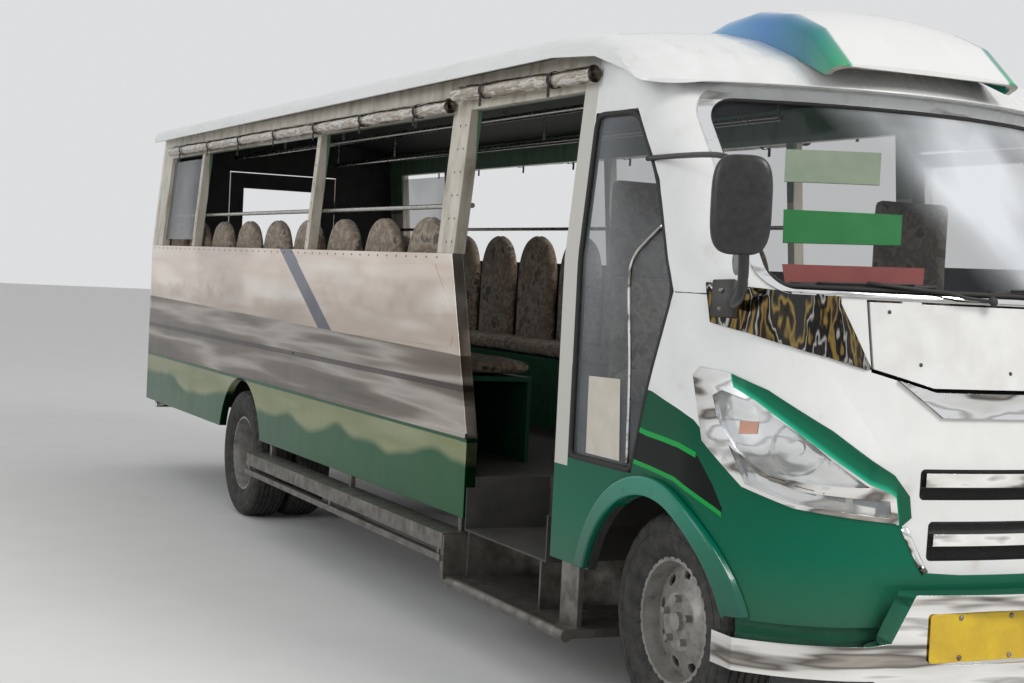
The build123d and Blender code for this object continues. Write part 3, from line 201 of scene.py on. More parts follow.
def pale_floor():
    n = new_finish("pale_floor", Roughness=0.9)
    return n.coat(Base_Color=n.ramp(n.mottle(3.0), [(0.3, (0.80, 0.80, 0.79)), (0.7, (0.83, 0.83, 0.82))]))


FLOOR_HALF = 60
floor_mesh = bpy.data.meshes.new("studio_floor")
floor_mesh.from_pydata([(x * FLOOR_HALF, y * FLOOR_HALF, 0) for x, y in ((-1, -1), (1, -1), (1, 1), (-1, 1))],
                       [], [(0, 1, 2, 3)])
floor_mesh.materials.append(pale_floor())
studio_floor = bpy.data.objects.new("studio_floor", floor_mesh)
bpy.context.scene.collection.objects.link(studio_floor)

SURROUND_LIGHT, SURROUND_SEEN = (0.67, 0.67, 0.68), (0.93, 0.94, 0.95)
bpy.context.scene.world = bpy.context.scene.world or bpy.data.worlds.new("studio")
w = Finish(bpy.context.scene.world, "Background")
path = w.add("LightPath").outputs
seen = w.math("MAXIMUM", path["Is Camera Ray"], path["Is Glossy Ray"])
seen = w.math("MAXIMUM", seen, path["Is Transmission Ray"])
w.join(w.mix(seen, SURROUND_LIGHT, SURROUND_SEEN), w.shader.inputs["Color"])
w.shader.inputs["Strength"].default_value = 0.78


def soft_lamp(name, place, aim, size, power, colour):
    lamp = bpy.data.lights.new(name, "AREA")
    lamp.size = size
    lamp.energy = power
    lamp.color = colour
    holder = bpy.data.objects.new(name, lamp)
    holder.location = place
    holder.rotation_euler = (Vector(aim) - Vector(place)).to_track_quat("-Z", "Y").to_euler()
    bpy.context.scene.collection.objects.link(holder)


soft_lamp("key_lamp", (9.5, 3.5, 8.5), (2.0, 0, 1.0), 4.0, 620, (1.0, 0.97, 0.93))
soft_lamp("kerb_lamp", (3.0, -9.5, 5.0), (0.5, 0, 1.0), 5.0, 230, (0.95, 0.98, 1.0))

# Chassis: a ladder frame of folded steel, painted black, with axles on leaf springs and the fuel tank bolted
# to it. The steering knuckles and the engine are raw castings and the exhaust is rusty pipe, all under dust.
BODY_OF = {node: body for body, nodes in frame["record"]["behaviour"]["bodies"].items() for node in nodes}
FOLD_ANGLE = math.radians(32)
FLAT_ANGLE = math.radians(0.6)
WELD_GAP = 0.00002


def modify(piece, name, kind, **settings):
    """Adds a modifier to a piece and sets it up."""
    modifier = piece.modifiers.new(name, kind)
    for key, value in settings.items():
        setattr(modifier, key, value)


def dressed(node, *materials, slot, fold=0.0015, segments=2, flat_weld=True):
    """Copy of a CAD node, welded into one skin, with the small radius of bent sheet on its sharp folds."""
    mesh = frame["nodes"][node].data.copy()
    mesh.name = node + "_skin"
    shell = bmesh.new()
    shell.from_mesh(mesh)
    bmesh.ops.remove_doubles(shell, verts=shell.verts, dist=WELD_GAP)
    if flat_weld:
        bmesh.ops.dissolve_limit(shell, angle_limit=FLAT_ANGLE, verts=shell.verts, edges=shell.edges)
    for edge in shell.edges:
        edge.smooth = len(edge.link_faces) == 2 and edge.calc_face_angle(0) < FOLD_ANGLE
    for face in shell.faces:
        face.smooth = True
    shell.to_mesh(mesh)
    shell.free()
    mesh.materials.clear()
    for material in materials:
        mesh.materials.append(material)
    piece = bpy.data.objects.new(node + "_skin", mesh)
    bpy.context.scene.collection.objects.link(piece)
    if fold:
        modify(piece, "folds", "BEVEL", width=fold, segments=segments, limit_method="ANGLE",
               angle_limit=FOLD_ANGLE, harden_normals=True)
    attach(piece, BODY_OF[node])
    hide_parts(node)
    return piece


def worn_finish(name, colour, worn, scale, rough, metal=0.0, bump=0.0008):
    """Worn finish of one colour: two tones in patches, uneven gloss and a fine surface."""
    n = new_finish(name, Metallic=metal, Roughness=rough)
    patch = n.mottle(scale, detail=8.0, rough=0.65)
    return n.coat(Base_Color=n.ramp(patch, [(0.32, colour), (0.72, worn)]),
                  Roughness=n.uneven(patch, rough, min(1.0, rough + 0.25)),
                  Normal=n.bump(n.mottle(scale * 9), bump, 0.7))


chassis_black = worn_finish("chassis_black", (0.025, 0.025, 0.025), (0.10, 0.085, 0.07), 9.0, 0.55)
cast_grey = worn_finish("cast_grey", (0.10, 0.10, 0.10), (0.20, 0.15, 0.11), 20.0, 0.6, 0.6)
pipe_steel = worn_finish("pipe_steel", (0.20, 0.17, 0.15), (0.30, 0.15, 0.08), 12.0, 0.5, 0.8)
for node in ("chassis_frame", "front_axle", "rear_axle", "fuel_tank"):
    dressed(node, chassis_black, slot="chassis_black", fold=0.002)
for node in ("knuckle_left", "knuckle_right", "engine"):
    dressed(node, cast_grey, slot="cast_steel", fold=0.003)
dressed("exhaust", pipe_steel, slot="exhaust_steel", fold=0.001, flat_weld=False)


# Wheels: pressed steel discs welded into rolled rims and sprayed silver, held by a ring of nuts.
# Brake dust and scuffs have dulled them; the rear ones are fitted in pairs.
def wheel_paint():
    n = new_finish("wheel_paint", Metallic=0.35, Roughness=0.45)
    dirt = n.mottle(18.0, detail=9.0, rough=0.65)
    silver = n.ramp(dirt, [(0.30, (0.36, 0.35, 0.33)), (0.55, (0.25, 0.24, 0.22)), (0.75, (0.10, 0.08, 0.06))])
    return n.coat(Base_Color=silver, Roughness=n.uneven(dirt, 0.35, 0.7), Normal=n.bump(dirt, 0.001, 0.5))


rim_silver = wheel_paint()
for node in ("rim_front_left", "rim_front_right", "rims_rear_left", "rims_rear_right"):
    dressed(node, rim_silver, slot="wheel_silver", fold=0, flat_weld=False)

# Tyres: 15 inch radial road tyres of moulded black rubber, dusty, with five ribs, open shoulder blocks
# and a ringed sidewall. They seat on the rims, single in front and in pairs at the rear.
AXLE_F, AXLE_R = 2.930, -1.470
TYRES = {
    "tyre_front_right": (AXLE_F, (-0.670,)), "tyre_front_left": (AXLE_F, (0.670,)),
    "tyres_rear_right": (AXLE_R, (-0.742, -0.527)), "tyres_rear_left": (AXLE_R, (0.742, 0.527)),
}
TYRE_R = 0.335
TYRE_STEPS = 160
TYRE_HALF_PROFILE = [
    # distance from the tyre's middle, depth below the tread; grooves are 7 mm deep
    (0.0, 0.0), (0.0095, 0.0), (0.011, 0.007), (0.0175, 0.007), (0.019, 0.0), (0.033, 0.001), (0.0345, 0.008),
    (0.041, 0.008), (0.0425, 0.001), (0.060, 0.003), (0.0615, 0.010), (0.066, 0.010), (0.0675, 0.004),
    (0.080, 0.009), (0.088, 0.018), (0.093, 0.030), (0.0945, 0.0302), (0.0960, 0.045), (0.0965, 0.058),
    (0.0950, 0.0585), (0.0952, 0.064), (0.0967, 0.0645), (0.0960, 0.080), (0.0925, 0.098), (0.0880, 0.112),
    (0.0870, 0.1125), (0.0850, 0.118), (0.0855, 0.1185), (0.0810, 0.130), (0.0740, 0.140), (0.0680, 0.143),
]
SHOULDER_FROM, SHOULDER_TO = 0.066, 0.093
BLOCK_GAP, BLOCK_EVERY = 0.006, 5
RIB_EDGE, RIB_TOP = 0.062, 0.004
SIPE_DEPTH, SIPE_EVERY = 0.0022, 4
WORN_OFF = 0.0004


def skin_rows(shell, rows, closed=False, around=False, flip=False):
    """Faces between rows of points; closed joins the last row to the first, around joins each row's ends."""
    for a, b in zip(rows, rows[1:] + rows[:1] if closed else rows[1:]):
        for k in range(len(a) if around else len(a) - 1):
            after = (k + 1) % len(a)
            shell.faces.new((a[k], b[k], b[after], a[after]) if flip else (a[k], a[after], b[after], b[k]))


def new_piece(name, shell, material, body="jeepney_body", replaces=(), smooth=True, outward=False):
    """Object made from new faces, riding on its body; outward turns the faces to look out."""
    if outward:
        bmesh.ops.recalc_face_normals(shell, faces=shell.faces)
    mesh = bpy.data.meshes.new(name)
    shell.to_mesh(mesh)
    shell.free()
    mesh.materials.append(material)
    for face in mesh.polygons:
        face.use_smooth = smooth
    piece = bpy.data.objects.new(name, mesh)
    bpy.context.scene.collection.objects.link(piece)
    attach(piece, body)
    if replaces:
        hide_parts(*replaces)
    return piece


def add_tyre(shell, x, y):
    """One tyre on an axle at x and its own radius above the ground, its middle at y."""
    profile = [(-a, d) for a, d in reversed(TYRE_HALF_PROFILE[1:])] + TYRE_HALF_PROFILE
    rings = []
    for step in range(TYRE_STEPS):
        angle = 2 * math.pi * step / TYRE_STEPS
        ring = []
        for across, depth in profile:
            radius = TYRE_R - depth
            shoulder_step = step + (2 if across > 0 else 0)
            if SHOULDER_FROM < abs(across) < SHOULDER_TO and shoulder_step % BLOCK_EVERY == 0:
                radius -= BLOCK_GAP
            if abs(across) < RIB_EDGE and depth < RIB_TOP and step % SIPE_EVERY == 0:
                radius -= SIPE_DEPTH
            radius = min(radius, TYRE_R - WORN_OFF)
            ring.append(shell.verts.new((x + radius * math.sin(angle), y + across,
                                         TYRE_R + radius * math.cos(angle))))
        rings.append(ring)
    skin_rows(shell, rings, closed=True, around=True)


def tyre_rubber():
    n = new_finish("tyre_rubber", Roughness=0.8)
    black = n.ramp(n.mottle(26.0, detail=8.0), [(0.35, (0.016, 0.016, 0.016)), (0.75, (0.060, 0.055, 0.048))])
    return n.coat(Base_Color=black, Normal=n.bump(n.mottle(300.0), 0.0004, 0.6))


rubber = tyre_rubber()
for node, (axle_x, places) in TYRES.items():
    shell = bmesh.new()
    for place in places:
        add_tyre(shell, axle_x, place)
    new_piece(node + "_tread", shell, rubber, BODY_OF[node], (node,), smooth=False, outward=True)

# Floor and steps: painted steel plate welded over the frame, scuffed dark by feet. The running boards are
# plate and flat bar, with the low boarding step hung under the entrance.
floor_paint = worn_finish("floor_paint", (0.035, 0.038, 0.035), (0.08, 0.07, 0.06), 8.0, 0.6)
step_metal = worn_finish("step_metal", (0.26, 0.25, 0.23), (0.09, 0.075, 0.06), 14.0, 0.35, 0.8)
dressed("floor", floor_paint, slot="floor_steel", fold=0.002)
dressed("side_steps", step_metal, slot="step_steel", fold=0.0025)

# Front body: pressed and welded sheet steel with rounded corners, sprayed white over green with a black band
# between two green lines; the driver's door hangs in the same skin. Black sealant closes a seam below each
# pillar, and a painted strip is turned down behind each bumper wing.
SIDES = ((-1, "right"), (1, "left"))
DIAGONAL = 0.70711
# The painted lines are given as place along the corner and height; see corner_place.
CORNER_LOW, CORNER_HIGH, LINE_TOP = -1.35, 0.75, 1.5
GREEN_TOP = [(-1.35, 1.12), (-0.80, 1.06), (-0.612, 1.036), (-0.556, 1.016), (-0.492, 0.995), (-0.438, 0.973),
             (-0.27, 0.83), (-0.12, 0.78), (0.14, 0.745), (0.163, 0.712), (0.189, 0.655), (0.226, 0.584),
             (0.315, 0.577), (0.75, 0.574)]
LINE_HIGH = [(-1.35, 0.93), (-0.661, 0.914), (-0.626, 0.907), (-0.554, 0.900), (-0.490, 0.892), (-0.418, 0.872),
             (-0.361, 0.795), (-0.328, 0.733), (0.75, 0.40)]
LINE_LOW = [(-1.35, 0.845), (-0.705, 0.816), (-0.603, 0.805), (-0.502, 0.790), (-0.422, 0.758), (-0.357, 0.730),
            (-0.300, 0.700), (0.75, 0.40)]
BAND_END, LINE_HIGH_END, LINE_LOW_END = -0.328, -0.425, -0.33
LINE_HIGH_HALF, LINE_LOW_HALF = 0.008, 0.007
POST_FRONT, POST_FOOT = 0.546, 0.745
WHITE = (0.80, 0.81, 0.80)
SHADED_GREEN, LIT_GREEN, SPECK_GREEN = (0.001, 0.075, 0.034), (0.001, 0.150, 0.085), (0.002, 0.05, 0.02)
LINE_GREEN, BAND_BLACK = (0.008, 0.33, 0.06), (0.003, 0.006, 0.005)
POST_CREAM, LOW_DARKENING = (0.55, 0.54, 0.50), (0.10, 0.09, 0.06)


def corner_place(n, x, y):
    """Place along the corner: (x from the front axle - distance from the middle) / root 2."""
    return n.times(n.minus(n.minus(x, AXLE_F), n.math("ABSOLUTE", y)), DIAGONAL)


def painted_line(n, along, points):
    """Height of a painted line for each place along the corner, from a short table of points."""
    node = n.add("FloatCurve")
    curve = node.mapping.curves[0]
    while len(curve.points) < len(points):
        curve.points.new(0.5, 0.5)
    for spot, (a, z) in zip(curve.points, points):
        spot.location = ((a - CORNER_LOW) / (CORNER_HIGH - CORNER_LOW), z / LINE_TOP)
        spot.handle_type = "VECTOR"
    node.mapping.update()
    n.join(n.range(along, CORNER_LOW, CORNER_HIGH), node.inputs["Value"])
    return n.times(node.outputs[0], LINE_TOP)


def nose_paint():
    n = new_finish("nose_paint", Roughness=0.2, Specular_IOR_Level=0.1, Coat_Weight=0.12, Coat_Roughness=0.03)
    x, y, z = n.axes()
    along = corner_place(n, x, y)
    grime, fine = n.mottle(9.0, detail=8.0), n.mottle(60.0, detail=4.0)
    white = n.ramp(grime, [(0.35, WHITE), (0.62, (0.76, 0.77, 0.76)), (0.80, (0.62, 0.60, 0.55))])
    # Painted light on the green: lighter low down and towards the front corner, darker higher up.
    green = n.mix(n.range(z, 0.45, 0.95), LIT_GREEN, SHADED_GREEN)
    green = n.mix(n.range(fine, 0.55, 0.85, 0.0, 0.35), green, SPECK_GREEN)
    green = n.mix(n.range(along, -0.5, 0.2, 0.0, 0.55), green, LIT_GREEN)
    top, high, low = [painted_line(n, along, points) for points in (GREEN_TOP, LINE_HIGH, LINE_LOW)]
    colour = n.mix(n.below(z, top), white, green)
    band = n.times(n.below(z, high), n.above(z, low))
    colour = n.mix(n.times(band, n.below(along, BAND_END)), colour, BAND_BLACK)
    for line, half, end in ((high, LINE_HIGH_HALF, LINE_HIGH_END), (low, LINE_LOW_HALF, LINE_LOW_END)):
        colour = n.mix(n.times(n.near(z, line, half), n.below(along, end)), colour, LINE_GREEN)
    post = n.times(n.below(x, AXLE_F - POST_FRONT), n.above(z, POST_FOOT))
    colour = n.mix(n.times(post, n.below(y, 0.0)), colour, POST_CREAM)
    # The paint darkens towards the nose's bottom edge.
    colour = n.mix(n.range(z, 0.62, 0.44, 0.0, 0.30), colour, LOW_DARKENING)
    return n.coat(Base_Color=colour, Roughness=n.uneven(grime, 0.12, 0.34), Normal=n.dents(4.0, 0.004, 0.25))


def painted_shade_lining(name="painted_shade_lining", colour=(0.02, 0.022, 0.02)):
    """Painted shade: a dull dark colour on the inner faces and undersides of sheet panels."""
    n = new_finish(name, Roughness=0.65)
    tone = n.ramp(n.mottle(14.0), [(0.3, colour), (0.75, tuple(c * 1.9 for c in colour))])
    return n.coat(Base_Color=tone, Normal=n.bump(n.mottle(120.0), 0.0006))


def second_finish(piece, chosen):
    """Gives the piece's second material to the faces for which chosen(centre, normal) is true."""
    for face in piece.data.polygons:
        if chosen(face.center, face.normal):
            face.material_index = 1


def faces_inwards(centre, normal):
    """True on the inner side of the front mask."""
    middle = Vector((AXLE_F - 0.2, 0, centre.z))
    return normal.dot(centre - middle) < 0


nose_colours, painted_shade = nose_paint(), painted_shade_lining()
# Inner faces of the front body and door take the near-black painted shade.
front_body = dressed("front_body", nose_colours, painted_shade, slot="white_paint")
second_finish(front_body, faces_inwards)
driver_door = dressed("driver_door", nose_colours, painted_shade, slot="white_paint")
second_finish(driver_door, lambda centre, normal: normal.y < -0.5)


def surface_of(*nodes):
    """Search tree over the surfaces of some CAD nodes."""
    joined = bmesh.new()
    for node in nodes:
        joined.from_mesh(frame["nodes"][node].data)
    tree = BVHTree.FromBMesh(joined)
    joined.free()
    return tree


def laid(skin, points, direction, lift=0.0):
    """Points carried along a direction onto a surface, then lifted off it; misses are left out."""
    found = []
    direction = Vector(direction).normalized()
    for point in points:
        place, normal, _, _ = skin.ray_cast(Vector(point), direction)
        if place is not None:
            if normal.dot(direction) > 0:
                normal = -normal
            found.append(place + normal * lift)
    return found


def from_ahead(skin, points, lift, start=1.0):
    """Points given as (y, z), carried back onto a surface from ahead of the front axle."""
    return laid(skin, [(AXLE_F + start, y, z) for y, z in points], (-1, 0, 0), lift)


def from_side(skin, side, points, lift):
    """Points given as (x from the front axle, z), carried onto a surface from beside the vehicle."""
    return laid(skin, [(AXLE_F + x, side * 1.2, z) for x, z in points], (0, -side, 0), lift)


def add_tube(shell, points, radius, sides=14, closed=False, flat=1.0):
    """Bar or bead through a few points, with closed ends unless it is a loop; flat squashes its section."""
    points = [Vector(p) for p in points]
    count = len(points)
    rings = []
    normal = None
    for i, point in enumerate(points):
        ahead = points[(i + 1) % count] if closed or i + 1 < count else point
        behind = points[i - 1] if closed or i else point
        direction = (ahead - behind).normalized()
        if normal is None:
            normal = direction.orthogonal().normalized()
        normal = (normal - direction * normal.dot(direction)).normalized()
        across = direction.cross(normal)
        turns = [2 * math.pi * k / sides for k in range(sides)]
        rings.append([shell.verts.new(point + radius * (math.cos(a) * normal + flat * math.sin(a) * across))
                      for a in turns])
    skin_rows(shell, rings, closed=closed, around=True)
    if not closed:
        shell.faces.new(rings[0][::-1])
        shell.faces.new(rings[-1])


def bar_piece(name, points, radius, material, slot, **shape):
    """Piece made of one bar or bead."""
    shell = bmesh.new()
    add_tube(shell, points, radius, **shape)
    new_piece(name, shell, material)


SEAM_Z = 1.338
SEAM = [(0.088, 0.849), (0.12, 0.848), (0.167, 0.846), (0.21, 0.838), (0.251, 0.823)]
SEAM_START = 0.3
VALANCE_TOP, VALANCE_LOW, NOSE_EDGE_Z = 0.46, 0.375, 0.445
VALANCE_FLANK = [(x, NOSE_EDGE_Z) for x in (0.365, 0.40, 0.44, 0.48)]
VALANCE_FRONT = (0.66, 0.58, 0.50, 0.42, 0.34)
VALANCE_OUT, VALANCE_IN = -0.010, -0.0125
gasket = worn_finish("gasket_rubber", (0.010, 0.010, 0.010), (0.03, 0.028, 0.026), 45.0, 0.6)
nose_skin = surface_of("front_body", "windshield_frame", "front_lid")
for side, word in SIDES:
    seam = [(AXLE_F + x + SEAM_START, side * (y + SEAM_START), SEAM_Z) for x, y in SEAM]
    bar_piece("body_seam_" + word, laid(nose_skin, seam, (-1, -side, 0), -0.0003), 0.0016, gasket,
              "wiper_black", sides=6)
for side, word in SIDES:
    shell = bmesh.new()
    front = [(side * y, NOSE_EDGE_Z) for y in VALANCE_FRONT]
    outer, inner = [from_side(nose_skin, side, VALANCE_FLANK, inset) + from_ahead(nose_skin, front, inset, 1.2)
                    for inset in (VALANCE_OUT, VALANCE_IN)]
    edges = ((outer, VALANCE_TOP), (outer, VALANCE_LOW), (inner, VALANCE_LOW), (inner, VALANCE_TOP))
    rails = [[shell.verts.new((p.x, p.y, z)) for p in edge] for edge, z in edges]
    skin_rows(shell, rails, closed=True)
    for end in (0, -1):
        shell.faces.new([rail[end] for rail in rails])
    new_piece("nose_valance_" + word, shell, nose_colours, smooth=False, outward=True)


# Side walls and rear wall: mirror-polished stainless sheet with a raised panel, a fold and a rub rail, its lower
# panels painted green. Folded over a frame and riveted; its colour is painted reflection in soft bands of cream,
# brown and olive, with painted shade along the fold.
CREAM_REFLECTION = [(0.30, (0.84, 0.74, 0.65)), (0.50, (0.72, 0.60, 0.51)), (0.70, (0.88, 0.82, 0.74))]
BROWN_REFLECTION = [(0.30, (0.05, 0.07, 0.04)), (0.43, (0.17, 0.13, 0.10)), (0.50, (0.30, 0.25, 0.21)),
              (0.56, (0.58, 0.54, 0.49)), (0.62, (0.24, 0.20, 0.17)), (0.75, (0.08, 0.09, 0.06))]
OLIVE_REFLECTION = [(0.30, (0.36, 0.38, 0.20)), (0.55, (0.27, 0.32, 0.15)), (0.75, (0.44, 0.46, 0.30))]
WALL_GREEN, RUB_GREEN, MOULDING_GREY, FOLD_SHADE = ((0.006, 0.110, 0.035), (0.005, 0.10, 0.04),
                                                   (0.16, 0.17, 0.21), (0.05, 0.04, 0.04))
PANEL_FOOT, FOLD_Z, RUB_RAIL, LOWER_TOP = 1.03, 0.925, 0.728, 0.745
PANEL_SLOPE = 0.012
MOULDING_TOP, MOULDING_SLANT, MOULDING_X, MOULDING_HALF = 1.369, 1.785, 3.597, 0.10
OLIVE_FOOT, OLIVE_WAVE = 0.44, 0.34


def stainless_side():
    n = new_finish("stainless_side", Metallic=0.9, Roughness=0.12)
    x, y, z = n.axes()
    # The colour is painted reflection: cream haze and blots high up, brown bands low down, olive patches on the
    # green.
    reflection_haze = n.mottle(1.3, stretch=(0.8, 1.0, 6.0), detail=2.0, rough=0.4)
    reflection_blot = n.mottle(0.9, stretch=(1.0, 1.0, 2.0), detail=2.0, rough=0.4)
    bands = n.mottle(0.7, stretch=(0.5, 1.0, 9.0), detail=3.0, rough=0.45)
    cream = n.mix(n.range(reflection_blot, 0.52, 0.66, 0.0, 0.45), n.ramp(reflection_haze, CREAM_REFLECTION), (0.40, 0.31, 0.28))
    wave = n.mottle(1.1, stretch=(1.0, 1.0, 0.1), detail=2.0)
    olive_edge = n.plus(n.times(wave, OLIVE_WAVE), OLIVE_FOOT)
    low = n.mix(n.range(n.minus(z, olive_edge), -0.012, 0.018), WALL_GREEN, n.ramp(reflection_haze, OLIVE_REFLECTION))
    low = n.mix(n.above(z, RUB_RAIL), low, RUB_GREEN)
    moulding_x = n.plus(n.times(n.minus(MOULDING_TOP, z), MOULDING_SLANT), AXLE_F - MOULDING_X)
    moulding = n.times(n.near(x, moulding_x, MOULDING_HALF), n.above(z, PANEL_FOOT))
    cream = n.mix(moulding, cream, MOULDING_GREY)
    slant = n.plus(z, n.times(n.plus(x, -AXLE_F), PANEL_SLOPE))
    colour = n.mix(n.below(slant, PANEL_FOOT), cream, n.ramp(bands, BROWN_REFLECTION))
    # Painted shade along the fold.
    colour = n.mix(n.times(n.near(z, FOLD_Z, 0.012), 0.8), colour, FOLD_SHADE)
    colour = n.mix(n.below(z, LOWER_TOP), colour, low)
    return n.coat(Base_Color=colour, Roughness=n.uneven(reflection_haze, 0.08, 0.26), Normal=n.dents(3.0, 0.012, 0.35))


stainless = stainless_side()
# Inner faces of the walls take the near-black painted shade.
for side, word in SIDES:
    wall = dressed("side_wall_" + word, stainless, painted_shade, slot="stainless")
    second_finish(wall, lambda centre, normal, s=side: normal.y * s < -0.5)
rear_wall = dressed("rear_wall", stainless, painted_shade, slot="stainless")
second_finish(rear_wall, lambda centre, normal: normal.x > 0.5)


# Front lid and rear door: pressed steel panels hung on hinges and sprayed white, a little wavy.
# The lid closes the nose under the windshield and has a few screw heads near its edge.
def lid_paint():
    n = new_finish("lid_paint", Roughness=0.2, Coat_Weight=0.8, Coat_Roughness=0.05)
    white = n.ramp(n.mottle(12.0, detail=8.0), [(0.35, WHITE), (0.75, (0.70, 0.69, 0.66))])
    return n.coat(Base_Color=white, Normal=n.dents(5.0, 0.004, 0.3))


def add_ball(shell, columns, rows):
    """Ball of radius 1, for a rounded form to be pressed from; gives its points."""
    rings = []
    for row in range(1, rows):
        down = math.pi * row / rows
        turns = [2 * math.pi * column / columns for column in range(columns)]
        rings.append([shell.verts.new((math.sin(down) * math.sin(a), math.sin(down) * math.cos(a), math.cos(down)))
                      for a in turns])
    skin_rows(shell, rings, around=True)
    top, foot = shell.verts.new((0, 0, 1)), shell.verts.new((0, 0, -1))
    for k in range(columns):
        after = (k + 1) % columns
        shell.faces.new((top, rings[0][after], rings[0][k]))
        shell.faces.new((foot, rings[-1][k], rings[-1][after]))
    return [vert for ring in rings for vert in ring] + [top, foot]


def add_dome(shell, place, normal, radius, height):
    """Low rivet or screw head standing on a surface."""
    spin = Vector((0, 0, 1)).rotation_difference(Vector(normal).normalized()).to_matrix()
    for vert in add_ball(shell, 14, 8):
        flat = Vector((vert.co.x * radius, vert.co.y * radius, max(vert.co.z, -0.1) * height))
        vert.co = Vector(place) + spin @ flat


LID_SCREWS = ((-0.400, 1.312), (-0.316, 1.167), (0.316, 1.167), (0.400, 1.312), (-0.02, 1.150))
panel_white = lid_paint()
# Inner faces of the lid and rear door take the near-black painted shade.
front_lid = dressed("front_lid", panel_white, painted_shade, slot="white_paint")
second_finish(front_lid, lambda centre, normal: normal.x < -0.5)
rear_door = dressed("rear_door", panel_white, painted_shade, slot="white_paint")
second_finish(rear_door, lambda centre, normal: normal.x > 0.5)
screw_black = worn_finish("foot_black", (0.02, 0.02, 0.02), (0.05, 0.045, 0.04), 30.0, 0.4)
shell = bmesh.new()
for place in from_ahead(nose_skin, LID_SCREWS, 0.0005):
    add_dome(shell, place, (1, 0, 0.15), 0.006, 0.002)
new_piece("lid_screws", shell, screw_black, "front_lid")

# Window posts and headers: folded steel, painted cream outside and green inside, with dirt in long runs.
# Rivet rows hold the posts to their frame and the walls to the rail at the belt.
HALF_W, BELT_Z = 0.850, 1.433
POST_INSIDE = HALF_W - 0.075
POST_X = (-5.535, -3.395, -1.672, -1.620)
POST_RIVETS, POST_PITCH, POST_FIRST = 6, 0.09, BELT_Z + 0.045
BELT_RIVETS, BELT_PITCH, BELT_FIRST, BELT_LAST = 44, 0.11, -3.55, AXLE_F - 1.70
BELT_RIVET_Z = BELT_Z - 0.016


def post_paint():
    n = new_finish("post_paint", Roughness=0.38, Coat_Weight=0.3)
    x, y, z = n.axes()
    dirt = n.mottle(16.0, stretch=(1, 1, 0.35), detail=8.0)
    cream = n.ramp(dirt, [(0.32, (0.62, 0.58, 0.50)), (0.55, (0.50, 0.46, 0.38)), (0.78, (0.26, 0.20, 0.14))])
    inner = n.times(n.below(n.math("ABSOLUTE", y), POST_INSIDE), 0.8)
    return n.coat(Base_Color=n.mix(inner, cream, (0.02, 0.16, 0.07)), Roughness=n.uneven(dirt, 0.3, 0.6))


posts = post_paint()
screw_metal = worn_finish("screw_metal", (0.30, 0.29, 0.27), (0.12, 0.09, 0.06), 50.0, 0.35, 1.0)
for side, word in SIDES:
    dressed("window_frame_" + word, posts, slot="white_paint", fold=0.003)
    post_skin = surface_of("window_frame_" + word, "side_wall_" + word)
    shell = bmesh.new()
    on_posts = [(x, POST_FIRST + POST_PITCH * k) for x in POST_X for k in range(POST_RIVETS)]
    for place in from_side(post_skin, side, on_posts, 0.0003):
        add_dome(shell, place, (0, side, 0), 0.005, 0.002)
    on_belt = [BELT_FIRST + k * BELT_PITCH for k in range(BELT_RIVETS)]
    on_belt = [(x, side * 1.2, BELT_RIVET_Z) for x in on_belt if x < BELT_LAST]
    for place in laid(post_skin, on_belt, (0, -side, 0), 0.0003):
        add_dome(shell, place, (0, side, 0), 0.0045, 0.002)
    new_piece("rivets_" + word, shell, screw_metal)


# Roof: one crowned steel skin with a rolled drip edge, sprayed white and streaked by rain and rust.
# It is welded to the window headers and the front mask; the ceiling under it is board in near-black painted shade.
def roof_paint():
    n = new_finish("roof_paint", Roughness=0.25, Coat_Weight=0.6, Coat_Roughness=0.08)
    streak = n.mottle(5.0, stretch=(0.6, 3.0, 3.0), detail=8.0)
    rust = n.times(n.range(n.mottle(22.0, detail=9.0, rough=0.7), 0.70, 0.78), 0.6)
    white = n.ramp(streak, [(0.3, (0.80, 0.81, 0.81)), (0.6, (0.75, 0.76, 0.75)), (0.85, (0.60, 0.58, 0.54))])
    return n.coat(Base_Color=n.mix(rust, white, (0.30, 0.16, 0.08)), Roughness=n.uneven(streak, 0.16, 0.42),
                  Normal=n.dents(3.0, 0.006, 0.3))


CEILING_HALF, CEILING_FRONT = HALF_W - 0.03, AXLE_F - 0.15
roof = dressed("roof", roof_paint(), painted_shade_lining("ceiling_board", (0.018, 0.02, 0.019)), slot="white_paint",
               fold=0.002)
second_finish(roof, lambda centre, normal: normal.z < -0.6 and abs(centre.y) < CEILING_HALF
              and centre.x < CEILING_FRONT)

# Roof scoop: a low pressed steel hood screwed to the roof over the windshield, white on top.
# Its cheeks and shoulders fade from blue to green, and its front lip has begun to rust.
SCOOP_WHITE_HALF = (0.300, 0.312)
SCOOP_FADE = [(0.0, (0.16, 0.42, 0.68)), (0.45, (0.03, 0.20, 0.48)), (0.75, (0.0, 0.17, 0.22)),
              (1.0, (0.02, 0.34, 0.14))]


def scoop_paint():
    n = new_finish("scoop_paint", Roughness=0.2, Coat_Weight=0.7, Coat_Roughness=0.06)
    x, y, z = n.axes()
    cheek = n.range(n.math("ABSOLUTE", y), *SCOOP_WHITE_HALF)
    fade = n.ramp(n.range(x, AXLE_F - 0.60, AXLE_F + 0.16), SCOOP_FADE)
    rust = n.times(n.range(n.mottle(40.0, detail=8.0), 0.56, 0.66), n.range(x, AXLE_F + 0.15, AXLE_F + 0.19))
    colour = n.mix(rust, n.mix(cheek, (0.78, 0.79, 0.78), fade), (0.22, 0.10, 0.05))
    return n.coat(Base_Color=colour, Roughness=n.uneven(n.mottle(16.0), 0.12, 0.32))


scoop = dressed("roof_scoop", scoop_paint(), painted_shade_lining("scoop_throat", (0.30, 0.28, 0.25)), slot="white_paint")
# The scoop's undersides take a grey-brown painted shade.
second_finish(scoop, lambda centre, normal: normal.z < -0.3)
